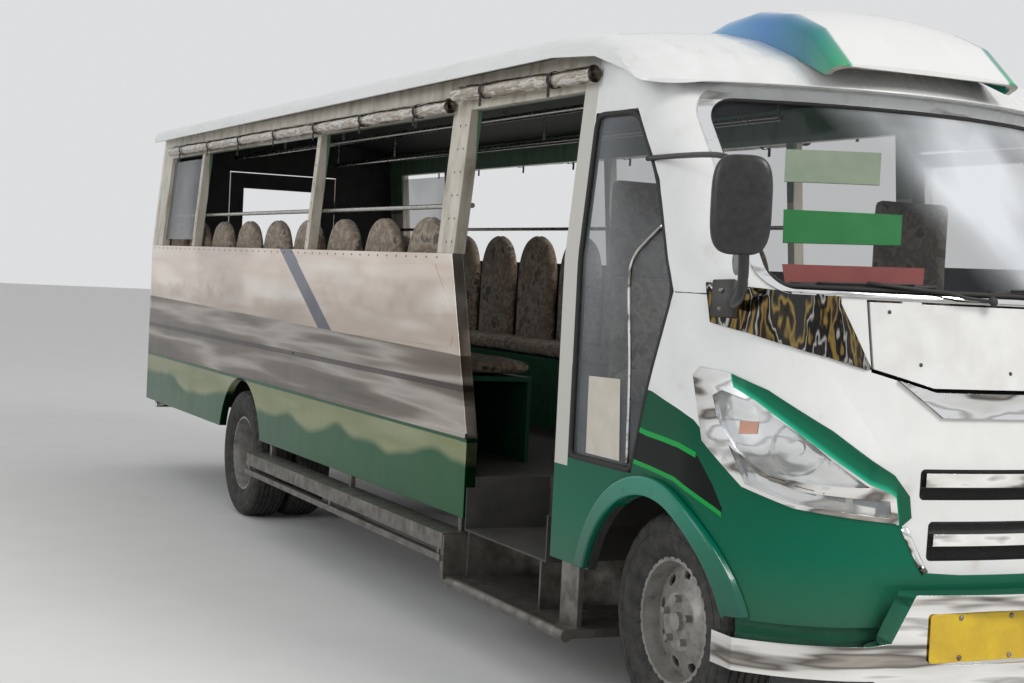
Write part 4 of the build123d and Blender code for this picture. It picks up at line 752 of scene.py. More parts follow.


# Arch flares: rolled steel lips welded round the front wheel arches, in teal-green enamel with a painted highlight
# that makes it lighter on top, chipped and spattered near the wheel.
def flare_paint():
    n = new_finish("flare_paint", Roughness=0.16, Specular_IOR_Level=0.3, Coat_Weight=0.4, Coat_Roughness=0.03)
    x, y, z = n.axes()
    # Painted highlight: the enamel is lighter towards the top.
    teal = n.ramp(n.range(z, 0.42, 0.78), [(0.0, (0.01, 0.09, 0.06)), (0.5, (0.0, 0.13, 0.075)),
                                           (1.0, (0.0, 0.22, 0.14))])
    chips = n.range(n.mottle(30.0, detail=8.0), 0.62, 0.75, 0.0, 0.5)
    return n.coat(Base_Color=n.mix(chips, teal, (0.02, 0.06, 0.04)), Normal=n.dents(7.0, 0.005, 0.4))


dressed("arch_flares", flare_paint(), slot="green_paint", fold=0.008, segments=4)

# Windshield frame and corner panels: chrome-plated sheet, screwed over the pillars and the nose's upper corners.
# It is a little wavy, with painted reflection in soft dark and pale streaks; the corner panels are darker, with
# gold.
REFLECTION_BY_FACING = (-0.7, 0.7, -0.24, 0.24)
CORNER_PANEL_TOP = 1.40
PALE_REFLECTION_STREAKS = [(0.18, (0.05, 0.045, 0.04)), (0.34, (0.40, 0.37, 0.33)), (0.40, (0.14, 0.13, 0.12)),
                (0.45, (0.72, 0.71, 0.68)), (0.56, (0.88, 0.88, 0.87)), (0.60, (0.46, 0.45, 0.43)),
                (0.64, (0.86, 0.87, 0.88))]
GOLD_REFLECTION_STREAKS = [(0.28, (0.01, 0.01, 0.012)), (0.42, (0.05, 0.04, 0.035)), (0.46, (0.30, 0.20, 0.06)),
                (0.485, (0.02, 0.02, 0.02)), (0.52, (0.03, 0.03, 0.03)), (0.545, (0.50, 0.48, 0.44)),
                (0.56, (0.03, 0.03, 0.03)), (0.61, (0.06, 0.05, 0.04)), (0.64, (0.34, 0.24, 0.08)),
                (0.67, (0.05, 0.05, 0.05))]


def chrome_finish(name, scale, stretch, streaks, rough=0.05):
    """Wavy plating with painted reflection: dark where a face looks down, pale where it looks up, in streaks; and
    rust spots.
    """
    n = new_finish(name, Metallic=1.0, Roughness=rough)
    wave = n.mottle(scale, stretch=stretch, detail=3.0, rough=0.5)
    # Painted reflection: the streak colours follow how far each face looks up.
    tone = n.ramp(n.plus(wave, n.range(n.upward(), *REFLECTION_BY_FACING)), streaks)
    spots = n.times(n.range(n.mottle(90.0, detail=7.0), 0.68, 0.76), 0.35)
    return n.coat(Base_Color=n.mix(spots, tone, (0.16, 0.09, 0.05)),
                  Roughness=n.uneven(wave, rough, rough + 0.10), Normal=n.dents(5.0, 0.010, 0.35))


def second_finish_below(piece, top):
    """Gives the piece's second material to its loose parts that stay below a height."""
    shell = bmesh.new()
    shell.from_mesh(piece.data)
    left = set(shell.faces)
    while left:
        island, waiting = [], [left.pop()]
        while waiting:
            face = waiting.pop()
            island.append(face)
            for near in {f for e in face.edges for f in e.link_faces} & left:
                left.remove(near)
                waiting.append(near)
        if max(v.co.z for f in island for v in f.verts) < top:
            for face in island:
                face.material_index = 1
    shell.to_mesh(piece.data)
    shell.free()


trim_chrome = chrome_finish("trim_chrome", 2.6, (1.0, 1.0, 4.0), PALE_REFLECTION_STREAKS)
corner_chrome = chrome_finish("corner_chrome", 4.0, (4.0, 4.0, 0.8), GOLD_REFLECTION_STREAKS)
windshield_frame = dressed("windshield_frame", trim_chrome, corner_chrome, slot="chrome_trim", fold=0.002)
second_finish_below(windshield_frame, CORNER_PANEL_TOP)

# Grille: two slots in the nose, each with a chrome-plated bar across it, pressed from sheet; its backs are
# near-black painted shade.
# Black expanded metal is fixed behind the bars.
GRILLE_SLOTS = [
    # foot and top of the slot, foot and top of its bar, half the slot's width
    (0.793, 0.876, 0.828, 0.867, 0.336),
    (0.620, 0.728, 0.661, 0.695, 0.301),
]
BAR_INSET, BAR_MARGIN = 0.012, 0.002
CELL_W, CELL_H, STRAND_R, STRAND_MOST = 0.016, 0.0092, 0.0011, 0.03
grille = dressed("grille", trim_chrome, painted_shade, slot="chrome_trim", fold=0.0012)
second_finish(grille, lambda centre, normal: normal.x > 0.3 and centre.z < 0.9
              and not any(foot < centre.z < top and abs(centre.y) < half - BAR_INSET
                          for _, _, foot, top, half in GRILLE_SLOTS))
mesh_black = worn_finish("mesh_black", (0.006, 0.006, 0.007), (0.016, 0.015, 0.014), 60.0, 0.75)
grille_skin = surface_of("grille")
shell = bmesh.new()
for low, high, bar_low, bar_high, half in GRILLE_SLOTS:
    for row in range(int((high - low) / CELL_H)):
        z0 = low + row * CELL_H
        if z0 + CELL_H > bar_low - BAR_MARGIN and z0 < bar_high + BAR_MARGIN:
            continue
        for column in range(int(2 * half / CELL_W)):
            y0 = -half + column * CELL_W
            y1, z1 = y0 + CELL_W, z0 + CELL_H
            for strand in (((y0, z0), (y1, z1)), ((y0, z1), (y1, z0))):
                ends = from_ahead(grille_skin, strand, 0.003)
                if len(ends) == 2 and (ends[0] - ends[1]).length < STRAND_MOST:
                    add_tube(shell, ends, STRAND_R, sides=4)
new_piece("grille_mesh", shell, mesh_black, smooth=False)

# Nose side strips: flattened chrome bars, spotted with rust, screwed down the edges of the white grille panel.
# Each follows the nose's skin beside the lower slot.
STRIP_TOP_Y, STRIP_STEP = 0.384, 0.016 * 1.2
STRIP_Z = (0.712, 0.680, 0.645, 0.612, 0.584)
body_skin = surface_of("front_body")
for side, word in SIDES:
    strip = [(side * (STRIP_TOP_Y - STRIP_STEP * k), z) for k, z in enumerate(STRIP_Z)]
    bar_piece("nose_side_strip_" + word, from_ahead(body_skin, strip, 0.003, 1.2), 0.011, trim_chrome,
              "chrome_trim", sides=10, flat=0.4)

# Headlamps: a plated housing with a green-painted brow, under a clear ribbed lens clipped to the nose.
# An amber reflector sits by the lens's outer end and dark lamp windows lie along its lower strip.
LAMP_BROW = [(-1.35, 1.5), (-0.345, 1.25), (-0.322, 1.082), (-0.246, 1.045), (-0.154, 0.987), (-0.065, 0.929),
             (0.019, 0.873), (0.076, 0.832), (0.123, 0.812), (0.145, 0.795), (0.153, 0.72), (0.158, 0.66),
             (0.75, 0.60)]
BROW_GREEN_HIGHLIT = [(0.0, (0.02, 0.50, 0.30)), (0.35, (0.0, 0.16, 0.08)), (1.0, (0.0, 0.10, 0.05))]
REFLECTOR = [(-0.300, 0.945), (-0.245, 0.950), (-0.243, 0.985), (-0.298, 0.982)]
WINDOW_STARTS = ((-0.200, 0.822), (-0.120, 0.800), (-0.045, 0.785), (0.030, 0.772))
WINDOW_LONG, WINDOW_DROP, WINDOW_HIGH = 0.052, 0.010, 0.020


def lamp_housing():
    n = new_finish("lamp_housing", Metallic=1.0, Roughness=0.08, Specular_IOR_Level=0.3)
    x, y, z = n.axes()
    over_brow = n.minus(z, painted_line(n, corner_place(n, x, y), LAMP_BROW))
    wave = n.mottle(5.0, stretch=(1, 1, 3), detail=1.5, rough=0.4)
    # The plating's colour is painted reflection; the green brow has a painted highlight along its lower edge.
    plate = n.ramp(n.plus(wave, n.range(n.upward(), *REFLECTION_BY_FACING)), PALE_REFLECTION_STREAKS)
    painted = n.range(over_brow, -0.001, 0.001)
    green = n.ramp(n.range(over_brow, 0.0, 0.05), BROW_GREEN_HIGHLIT)
    return n.coat(Base_Color=n.mix(painted, plate, green), Metallic=n.range(painted, 0, 1, 1.0, 0.1),
                  Roughness=n.uneven(wave, 0.05, 0.2))


def lens_finish():
    n = new_finish("lens_clear", Base_Color=(0.85, 0.90, 0.93), Roughness=0.05, IOR=1.49, Specular_IOR_Level=0.9,
               Alpha=0.13)
    ribs = n.weave(14, wave_type="BANDS", bands_direction="DIAGONAL")
    return n.coat(Normal=n.bump(ribs, 0.002, 0.4))


def in_lamp(side, outline, lift):
    """Corners given as (place along the lamp, height), carried back along the diagonal into the housing."""
    starts = [(AXLE_F + 0.060 + (a + 1.0) * DIAGONAL, side * (0.060 - a * DIAGONAL + DIAGONAL), z)
              for a, z in outline]
    return laid(lamp_skin, starts, (-DIAGONAL, -side * DIAGONAL, 0), lift)


dressed("headlamp_bowls", lamp_housing(), slot="lamp_mirror", fold=0.0012)
dressed("headlamp_lenses", lens_finish(), slot="lamp_lens", fold=0.001)
amber = worn_finish("amber_reflector", (0.75, 0.22, 0.01), (0.60, 0.15, 0.01), 40.0, 0.2)
lamp_dark = worn_finish("lamp_window", (0.02, 0.022, 0.03), (0.07, 0.08, 0.10), 60.0, 0.12)
lamp_skin = surface_of("headlamp_bowls")
for side, word in SIDES:
    shell = bmesh.new()
    shell.faces.new([shell.verts.new(p) for p in in_lamp(side, REFLECTOR, 0.004)])
    new_piece("amber_reflector_" + word, shell, amber, smooth=False, outward=True)
    shell = bmesh.new()
    for a, z in WINDOW_STARTS:
        b = a + WINDOW_LONG
        window = [(a, z), (b, z - WINDOW_DROP), (b, z + WINDOW_DROP), (a, z + WINDOW_HIGH)]
        corners = in_lamp(side, window, 0.006)
        if len(corners) == len(window):
            shell.faces.new([shell.verts.new(p) for p in corners])
    new_piece("lamp_windows_" + word, shell, lamp_dark, smooth=False, outward=True)

# Bumpers and number plate: heavy chrome-plated channels bolted to the frame's ends, stepped at the front.
# The blank yellow plate is pressed sheet with a raised rim, on four bolts.
PLATE_X, PLATE_Y, PLATE_Z = AXLE_F + 0.733, -0.171, 0.422
PLATE_HALF_W, PLATE_HALF_H = 0.193, 0.068
PLATE_RIM = ((0, 0), (0, 0.0020), (0.004, 0.0028), (0.008, 0.0020))
PLATE_ROUND, ROUND_STEPS = 0.012, 6
BOLT_Y, BOLT_Z = 0.089, 0.060 * 0.93
bumper_chrome = chrome_finish("bumper_chrome", 1.6, (0.7, 0.7, 8.0), PALE_REFLECTION_STREAKS)
dressed("front_bumper", bumper_chrome, slot="chrome_trim", fold=0.006, segments=3)
dressed("rear_bumper", bumper_chrome, slot="chrome_trim", fold=0.005, segments=3)
plate_yellow = worn_finish("plate_yellow", (0.72, 0.50, 0.02), (0.55, 0.36, 0.03), 14.0, 0.45, bump=0.0003)
shell = bmesh.new()
rings = []
for shrink, out in PLATE_RIM:
    outline = []
    r = PLATE_ROUND - shrink * 0.5
    for sy, sz, quarter in ((-1, -1, 2), (1, -1, 3), (1, 1, 0), (-1, 1, 1)):
        for k in range(ROUND_STEPS):
            a = quarter * math.pi / 2 + k * math.pi / 10
            outline.append(shell.verts.new((PLATE_X + out,
                                            PLATE_Y + sy * (PLATE_HALF_W - shrink) - sy * r + r * math.cos(a),
                                            PLATE_Z + sz * (PLATE_HALF_H - shrink) - sz * r + r * math.sin(a))))
    rings.append(outline)
skin_rows(shell, rings, around=True)
shell.faces.new(rings[-1])
shell.faces.new(rings[0][::-1])
new_piece("blank_plate", shell, plate_yellow, smooth=False, outward=True)
shell = bmesh.new()
for y in (-BOLT_Y, BOLT_Y):
    for z in (-BOLT_Z, BOLT_Z):
        add_dome(shell, (PLATE_X + 0.002, PLATE_Y + y, PLATE_Z + z), (1, 0, 0), 0.008, 0.005)
new_piece("plate_bolts", shell, screw_metal)

# Glass: curved windshield, cab side windows and rear quarter panes, lightly tinted, with pale painted reflections.
# Black rubber holds the windshield and the kerb side's cab window, which has a bent chrome bead inside its rubber.
QUARTER_Y, QUARTER_X, SIDE_X, SIDE_TOP = 0.74, AXLE_F - 0.02, AXLE_F + 0.1, 1.34
VEIL_TOP, VEIL_SLANT = 1.85, 0.55
WINDSHIELD = [(-0.716, 1.370), (-0.676, 1.932), (0.676, 1.932), (0.716, 1.370)]
WINDSHIELD_ROUND = (0.055, 0.085, 0.085, 0.055)
SIDE_GLASS = [(-0.535, 0.780), (-0.535, 1.900), (-0.264, 1.895), (-0.080, 1.673), (0.076, 1.340),
              (-0.045, 1.054), (-0.124, 0.780)]
SIDE_ROUND = (0.03, 0.05, 0.06, 0.12, 0.05, 0.10, 0.03)
BEAD = [(-0.163, 0.800), (-0.163, 0.856), (-0.175, 1.10), (-0.205, 1.36), (-0.180, 1.44), (-0.110, 1.49),
        (-0.031, 1.535)]
OUTLINE_STEP = 0.04


def reflection_cloud(n):
    return n.mottle(1.5, stretch=(1.0, 1.5, 1.1), detail=2.5, rough=0.45)


def windshield_finish():
    """Clear on the kerb side, with a slanting sheet of painted glare on the far side."""
    n = new_finish("cab_glass", Roughness=0.02, IOR=1.5, Specular_IOR_Level=0.6)
    x, y, z = n.axes()
    edge = n.times(n.minus(VEIL_TOP, z), VEIL_SLANT)
    glare_veil = n.times(n.range(n.minus(y, edge), -0.33, -0.13), n.range(reflection_cloud(n), 0.32, 0.62, 0.25, 1.0))
    return n.coat(Base_Color=n.mix(glare_veil, (0.02, 0.026, 0.03), (0.80, 0.84, 0.88)),
                  Alpha=n.range(glare_veil, 0.0, 1.0, 0.22, 0.60))


def side_glass_finish():
    n = new_finish("side_glass", Roughness=0.02, IOR=1.5, Specular_IOR_Level=0.8)
    # Paler patches are painted reflection on the tinted glass.
    reflection_patches = reflection_cloud(n)
    return n.coat(Base_Color=n.ramp(reflection_patches, [(0.35, (0.03, 0.04, 0.05)), (0.70, (0.30, 0.32, 0.34))]),
                  Alpha=n.range(reflection_patches, 0.40, 0.75, 0.30, 0.50))


def rounded_outline(corners, radii, steps=6):
    """Closed outline of (a, b) points with its corners rounded."""
    line = []
    for i, (corner, radius) in enumerate(zip(corners, radii)):
        here = Vector((*corner, 0))
        back = (Vector((*corners[i - 1], 0)) - here).normalized()
        on = (Vector((*corners[(i + 1) % len(corners)], 0)) - here).normalized()
        a, b = here + back * radius, here + on * radius
        for s in range(steps + 1):
            t = s / steps
            line.append((1 - t) ** 2 * a + 2 * t * (1 - t) * here + t * t * b)
    dense = []
    for point, after in zip(line, line[1:] + line[:1]):
        parts = max(1, int((after - point).length / OUTLINE_STEP))
        dense += [point + (after - point) * k / parts for k in range(parts)]
    return [(p.x, p.y) for p in dense]


def eased(points, steps=8):
    """Smooth line through a few points."""
    points = [Vector(p) for p in points]
    line = []
    for i in range(len(points) - 1):
        p0, p1, p2, p3 = (points[max(0, min(len(points) - 1, i + k))] for k in (-1, 0, 1, 2))
        for s in range(steps):
            t = s / steps
            line.append(0.5 * ((2 * p1) + (p2 - p0) * t + (2 * p0 - 5 * p1 + 4 * p2 - p3) * t * t
                               + (3 * p1 - p0 - 3 * p2 + p3) * t ** 3))
    return line + [points[-1]]


glass = dressed("window_glass", windshield_finish(), side_glass_finish(), slot="clear_glass", fold=0)
second_finish(glass, lambda centre, normal: centre.x < QUARTER_X and abs(centre.y) > QUARTER_Y
              or centre.x < SIDE_X and centre.z < SIDE_TOP)
glass_skin = surface_of("window_glass")
bar_piece("windshield_rubber", from_ahead(glass_skin, rounded_outline(WINDSHIELD, WINDSHIELD_ROUND), 0.004),
          0.008, gasket, "wiper_black", sides=8, closed=True)
bar_piece("side_glass_rubber", from_side(glass_skin, -1, rounded_outline(SIDE_GLASS, SIDE_ROUND), 0.006),
          0.010, gasket, "wiper_black", sides=8, closed=True)
bead = eased([(AXLE_F + x, -1.2, z) for x, z in BEAD], 6)
bar_piece("side_glass_bead", laid(glass_skin, bead, (0, 1, 0), 0.003), 0.006, trim_chrome, "chrome_trim", sides=8)

# Blank boards and card: painted boards stood behind the windshield and a card stuck on the side glass.
# All are left without any lettering.
BOARDS = [
    # name, colour, worn colour, corners seen from the front as (y, z)
    ("board_top", (0.60, 0.72, 0.52), (0.50, 0.62, 0.45),
     [(-0.544, 1.688), (-0.254, 1.694), (-0.196, 1.798), (-0.498, 1.790)]),
    ("board_middle", (0.02, 0.42, 0.08), (0.02, 0.33, 0.07),
     [(-0.624, 1.503), (-0.276, 1.513), (-0.224, 1.605), (-0.581, 1.602)]),
    ("board_low", (0.55, 0.12, 0.10), (0.44, 0.10, 0.09),
     [(-0.668, 1.380), (-0.272, 1.385), (-0.232, 1.449), (-0.651, 1.440)]),
]
BOARD_ROWS, BOARD_COLUMNS, BOARD_THICK, BOARD_BEHIND = 4, 8, 0.003, -0.010
CARD = [(-0.440, 0.800), (-0.215, 0.800), (-0.235, 1.055), (-0.445, 1.050)]
for name, colour, worn, corners in BOARDS:
    shell = bmesh.new()
    low_left, low_right, top_right, top_left = [Vector((*corner, 0)) for corner in corners]
    rows = []
    for row in range(BOARD_ROWS + 1):
        a = low_left.lerp(top_left, row / BOARD_ROWS)
        b = low_right.lerp(top_right, row / BOARD_ROWS)
        line = [a.lerp(b, c / BOARD_COLUMNS) for c in range(BOARD_COLUMNS + 1)]
        found = from_ahead(glass_skin, [(p.x, p.y) for p in line], BOARD_BEHIND)
        rows.append([shell.verts.new(p) for p in found])
    skin_rows(shell, rows)
    board_paint = worn_finish(name + "_paint", colour, worn, 12.0, 0.6)
    board = new_piece(name, shell, board_paint, smooth=False, outward=True)
    modify(board, "board", "SOLIDIFY", thickness=BOARD_THICK)
card_paper = worn_finish("card_paper", (0.62, 0.58, 0.50), (0.52, 0.48, 0.40), 12.0, 0.6)
shell = bmesh.new()
shell.faces.new([shell.verts.new(p) for p in from_side(glass_skin, -1, CARD, 0.0012)])
new_piece("blank_card", shell, card_paper, smooth=False)

# Cab and cabin fittings: a moulded black dashboard with its steering wheel, bench boxes of green-painted sheet
# and plated grab rails. The boxes are screwed to the floor and the rails to the ceiling and posts.
dash_grain = worn_finish("dash_grain", (0.03, 0.03, 0.03), (0.06, 0.058, 0.055), 25.0, 0.5, bump=0.0005)
bench_green = worn_finish("bench_green", (0.01, 0.11, 0.05), (0.02, 0.06, 0.03), 11.0, 0.4)
rail_metal = worn_finish("rail_metal", (0.55, 0.55, 0.53), (0.36, 0.34, 0.30), 30.0, 0.15, 1.0, bump=0.0002)
dressed("dashboard", dash_grain, slot="dash_plastic", fold=0.012, segments=3)
dressed("steering_wheel", dash_grain, slot="dash_plastic", fold=0.001, flat_weld=False)
dressed("bench_boxes", bench_green, slot="green_paint", fold=0.002)
dressed("handrails", rail_metal, slot="rail_steel", fold=0, flat_weld=False)

# Seat cushions: foam under camouflage-print cloth, sewn with a border seam and channels. The benches have
# nine round-topped backs a side, and the two cab seats stand on folded steel boxes.
LEAN = 0.084
BENCH_X0, BENCH_X1 = -3.550, AXLE_F - 1.800
BENCH_Z, CUSHION_TOP, BACK_TOP = 0.9483, 1.0233, 1.585
BACK_T, BACK_W, BACKS = 0.062, 0.455, 9
BACK_OUT = HALF_W - LEAN * (BACK_TOP - BELT_Z) - 0.0503
BENCH_IN, BENCH_OUT = 0.388, BACK_OUT - BACK_T - 0.006
SEAT_IN, SEAT_OUT = 0.366, HALF_W - 0.130
SEAT_X0, SEAT_X1 = AXLE_F - 0.600, AXLE_F - 0.130
RISER_TOP, SEAT_TOP = 0.965, 1.075
SEAT_BACKS = [
    # rear and front face, foot and top of the head pad and of the back pad
    (SEAT_X0 - 0.055, SEAT_X0 + 0.045, 1.35, 1.700),
    (SEAT_X0 - 0.02, SEAT_X0 + 0.085, RISER_TOP, 1.38),
]
RISER_IN, RISER_STEP_X = SEAT_IN + 0.17, AXLE_F - 0.4403
RISER_REAR_FOOT, RISER_FRONT_FOOT = 0.6003, 0.7603
PAD_CELL, CELLS_LEAST, CELLS_MOST = 0.035, 8, 90
CROWN, CHANNEL_DEPTH, SIDE_PULL, TOP_LEAST = 0.40, 0.20, 0.012, 0.12
BORDER_AT, BORDER_DEPTH, BORDER_WIDE = 0.84, 0.10, 0.035
CLOTH = [(0.38, (0.34, 0.26, 0.18)), (0.44, (0.16, 0.10, 0.06)), (0.55, (0.42, 0.35, 0.26)),
         (0.62, (0.07, 0.05, 0.035))]


def seat_cloth():
    n = new_finish("seat_cloth", Roughness=0.9, Sheen_Weight=0.3)
    small = n.range(n.mottle(31.0, detail=3.0), 0.56, 0.60)
    colour = n.mix(small, n.ramp(n.mottle(13.0, detail=3.0), CLOTH), (0.22, 0.16, 0.10))
    return n.coat(Base_Color=colour, Normal=n.bump(n.weave(180), 0.0008))


def add_pad(shell, corner_a, corner_b, thin_axis, rounded_top=False, channels=0):
    """Stuffed pad between two corners: crowned on both broad faces, sides drawn in between its corners."""
    low = [min(a, b) for a, b in zip(corner_a, corner_b)]
    high = [max(a, b) for a, b in zip(corner_a, corner_b)]
    middle = [(a + b) / 2 for a, b in zip(low, high)]
    half = [(b - a) / 2 for a, b in zip(low, high)]
    first, second = [axis for axis in range(3) if axis != thin_axis]
    columns, rows = [max(CELLS_LEAST, min(CELLS_MOST, int(half[axis] * 2 / PAD_CELL)))
                     for axis in (first, second)]
    sides = {}
    for face_side in (-1, 1):
        for i in range(columns + 1):
            for j in range(rows + 1):
                u, v = 2 * i / columns - 1, 2 * j / rows - 1
                rise = (max(0.0, 1 - u ** 8) * max(0.0, 1 - v ** 8)) ** 0.5
                seam = 1.0
                if channels:
                    wave = abs(math.sin(math.pi * (u + 1) / 2 * channels))
                    seam = 1 - CHANNEL_DEPTH + CHANNEL_DEPTH * min(1.0, wave * 4)
                border = 1 - BORDER_DEPTH * math.exp(-((max(abs(u), abs(v)) - BORDER_AT) / BORDER_WIDE) ** 2)
                pull = (1 - SIDE_PULL * (1 - v * v) * (abs(u) > 0.999)
                        - SIDE_PULL * (1 - u * u) * (abs(v) > 0.999))
                p, q = u * half[first] * pull, v * half[second] * pull
                reach = q - (half[second] - half[first])
                if rounded_top and reach > 0:
                    room = math.sqrt(max(0.0, half[first] ** 2 - reach ** 2)) / half[first]
                    p *= max(room, TOP_LEAST)
                thick = half[thin_axis] * (1 - CROWN + CROWN * rise) * seam * border
                point = [0.0, 0.0, 0.0]
                point[first] = middle[first] + p
                point[second] = middle[second] + q
                point[thin_axis] = middle[thin_axis] + face_side * thick
                sides[face_side, i, j] = shell.verts.new(point)
    for face_side in (-1, 1):
        for i in range(columns):
            for j in range(rows):
                shell.faces.new([sides[face_side, a, b]
                                 for a, b in ((i, j), (i + 1, j), (i + 1, j + 1), (i, j + 1))])
    ring = ([(i, 0) for i in range(columns)] + [(columns, j) for j in range(rows)]
            + [(i, rows) for i in range(columns, 0, -1)] + [(0, j) for j in range(rows, 0, -1)])
    for a, b in zip(ring, ring[1:] + ring[:1]):
        shell.faces.new((sides[-1, *a], sides[-1, *b], sides[1, *b], sides[1, *a]))


def add_block(shell, low, high):
    """Box between two corners."""
    for vert in bmesh.ops.create_cube(shell, size=1.0)["verts"]:
        vert.co = [(a + b) / 2 + c * (b - a) for a, b, c in zip(low, high, vert.co)]


camo_cloth = seat_cloth()
shell = bmesh.new()
for side in (-1, 1):
    add_pad(shell, (BENCH_X0, side * BENCH_IN, BENCH_Z), (BENCH_X1, side * BENCH_OUT, CUSHION_TOP), 2,
            channels=BACKS)
    for number in range(BACKS):
        x = BENCH_X0 + (number + 0.5) * (BENCH_X1 - BENCH_X0) / BACKS
        add_pad(shell, (x - BACK_W / 2, side * (BACK_OUT - BACK_T), BENCH_Z),
                (x + BACK_W / 2, side * BACK_OUT, BACK_TOP), 1, rounded_top=True, channels=2)
bench_pads = new_piece("bench_pads", shell, camo_cloth, replaces=("bench_cushions",), outward=True)
shell = bmesh.new()
for side in (-1, 1):
    add_pad(shell, (SEAT_X0 + 0.062, side * SEAT_IN, RISER_TOP), (SEAT_X1, side * SEAT_OUT, SEAT_TOP), 2,
            channels=3)
    for x_low, x_high, z_low, z_high in SEAT_BACKS:
        add_pad(shell, (x_low, side * (SEAT_IN + 0.02), z_low), (x_high, side * (SEAT_OUT - 0.02), z_high), 0,
                channels=3)
cab_pads = new_piece("cab_pads", shell, camo_cloth, replaces=("front_seats",), outward=True)
for pads in (bench_pads, cab_pads):
    modify(pads, "soft", "SUBSURF", levels=1, render_levels=1)
shell = bmesh.new()
for side in (-1, 1):
    y0, y1 = sorted((side * RISER_IN, side * SEAT_OUT))
    add_block(shell, (SEAT_X0, y0, RISER_REAR_FOOT), (RISER_STEP_X, y1, RISER_TOP - 0.003))
    add_block(shell, (RISER_STEP_X, y0, RISER_FRONT_FOOT), (SEAT_X1 - 0.02, y1, RISER_TOP - 0.003))
risers = new_piece("cab_seat_boxes", shell, chassis_black, smooth=False)
modify(risers, "edges", "BEVEL", width=0.004, segments=2)

# Rolled side curtains: clear vinyl sheets wound up under the drip edge, two a side, yellowed and creased.
# Black webbing loops tie them to the window headers.
ROLL_TURNS, ROLL_CORE, ROLL_WOUND = 3.2, 0.010, 0.0215
ROLL_OUT = 0.034 + 0.0006
ROLL_SPANS = [
    # rear end and its height, front end and its height
    (-3.290, 2.022, AXLE_F - 1.720, 2.005),
    (AXLE_F - 1.675, 2.046, AXLE_F - 0.525, 2.030),
]
ROLL_CELL, ROLL_AROUND, ROLL_START, FLAT_STEPS = 0.045, 76, 0.5, 200
TIE_PITCH, TIE_GRIP, TIE_REACH = 0.62, 0.16, 0.05
TIE_R, TIE_W, TIE_T, TIE_STEPS = 0.0283, 0.022, 0.0016, 28
TAIL_Y, TAIL_HALF_W, TAIL_HALF_T, TAIL_TOP, TAIL_FOOT = 0.024, 0.010, 0.001, -0.022, -0.060
VINYL_AND_SHEEN = [(0.32, (0.46, 0.41, 0.33)), (0.46, (0.24, 0.19, 0.13)), (0.56, (0.62, 0.60, 0.55)),
         (0.64, (0.30, 0.25, 0.18)), (0.80, (0.20, 0.16, 0.11))]


def vinyl_finish():
    n = new_finish("curtain_vinyl", Roughness=0.2, Coat_Weight=0.4)
    # Yellowed vinyl with painted sheen and painted shade in light and dark bands along its creases.
    crease_and_sheen = n.mottle(6.0, stretch=(1.2, 6.0, 6.0), detail=3.0)
    return n.coat(Base_Color=n.ramp(crease_and_sheen, VINYL_AND_SHEEN), Roughness=n.uneven(crease_and_sheen, 0.14, 0.4),
                  Normal=n.bump(crease_and_sheen, 0.006, 0.6))


def roll_line(span, side, share):
    """Middle of a roll at a share of its length."""
    x0, z0, x1, z1 = span
    z = z0 + (z1 - z0) * share
    return Vector((x0 + (x1 - x0) * share, side * (HALF_W - LEAN * (z - BELT_Z) + ROLL_OUT), z))


def tie_places(span):
    ties = max(2, round((span[2] - span[0]) / TIE_PITCH))
    return [(number + 0.5) / ties for number in range(ties)]


def add_roll(shell, span, side):
    """Spiral sheet: loose between its ties, drawn tight under each one."""
    length = span[2] - span[0]
    steps = int(length / ROLL_CELL)
    rows = []
    for i in range(steps + 1):
        share = i / steps
        centre = roll_line(span, side, share)
        from_tie = min(abs(share - tie) for tie in tie_places(span)) * length
        tight = 1 - TIE_GRIP * math.exp(-(from_tie / TIE_REACH) ** 2)
        row = []
        for j in range(ROLL_AROUND + 1):
            wound = j / ROLL_AROUND
            angle = side * 2 * math.pi * ROLL_TURNS * wound + ROLL_START + 0.10 * math.sin(share * length * 4.1)
            radius = (ROLL_CORE + ROLL_WOUND * wound) * tight
            radius += 0.0010 * math.sin(share * length * 23 + 5 * angle) * wound
            row.append(shell.verts.new(centre + Vector((0, radius * math.sin(angle), radius * math.cos(angle)))))
        rows.append(row)
    skin_rows(shell, rows, flip=True)


def add_tie(shell, centre):
    """Flat webbing loop round a roll."""
    rings = []
    for step in range(TIE_STEPS):
        angle = 2 * math.pi * step / TIE_STEPS
        ring = []
        for out, shift in ((0, -1), (TIE_T, -1), (TIE_T, 1), (0, 1)):
            r = TIE_R + out
            ring.append(shell.verts.new(centre + Vector((shift * TIE_W / 2, r * math.sin(angle),
                                                         r * math.cos(angle)))))
        rings.append(ring)
    skin_rows(shell, rings, closed=True, around=True, flip=True)


vinyl = vinyl_finish()
webbing = worn_finish("black_webbing", (0.012, 0.012, 0.012), (0.03, 0.028, 0.025), 60.0, 0.8)
for side, word in SIDES:
    for number, span in enumerate(ROLL_SPANS):
        shell = bmesh.new()
        add_roll(shell, span, side)
        replaced = ("curtain_rolls",) if number == 0 and side == -1 else ()
        roll = new_piece("curtain_%s_%d" % (word, number), shell, vinyl, replaces=replaced)
shell = bmesh.new()
for side in (-1, 1):
    for span in ROLL_SPANS:
        for share in tie_places(span):
            middle = roll_line(span, side, share)
            add_tie(shell, middle)
            add_block(shell, middle + Vector((-TAIL_HALF_W, side * TAIL_Y - TAIL_HALF_T, TAIL_FOOT)),
                      middle + Vector((TAIL_HALF_W, side * TAIL_Y + TAIL_HALF_T, TAIL_TOP)))
new_piece("curtain_ties", shell, webbing, smooth=False, outward=True)

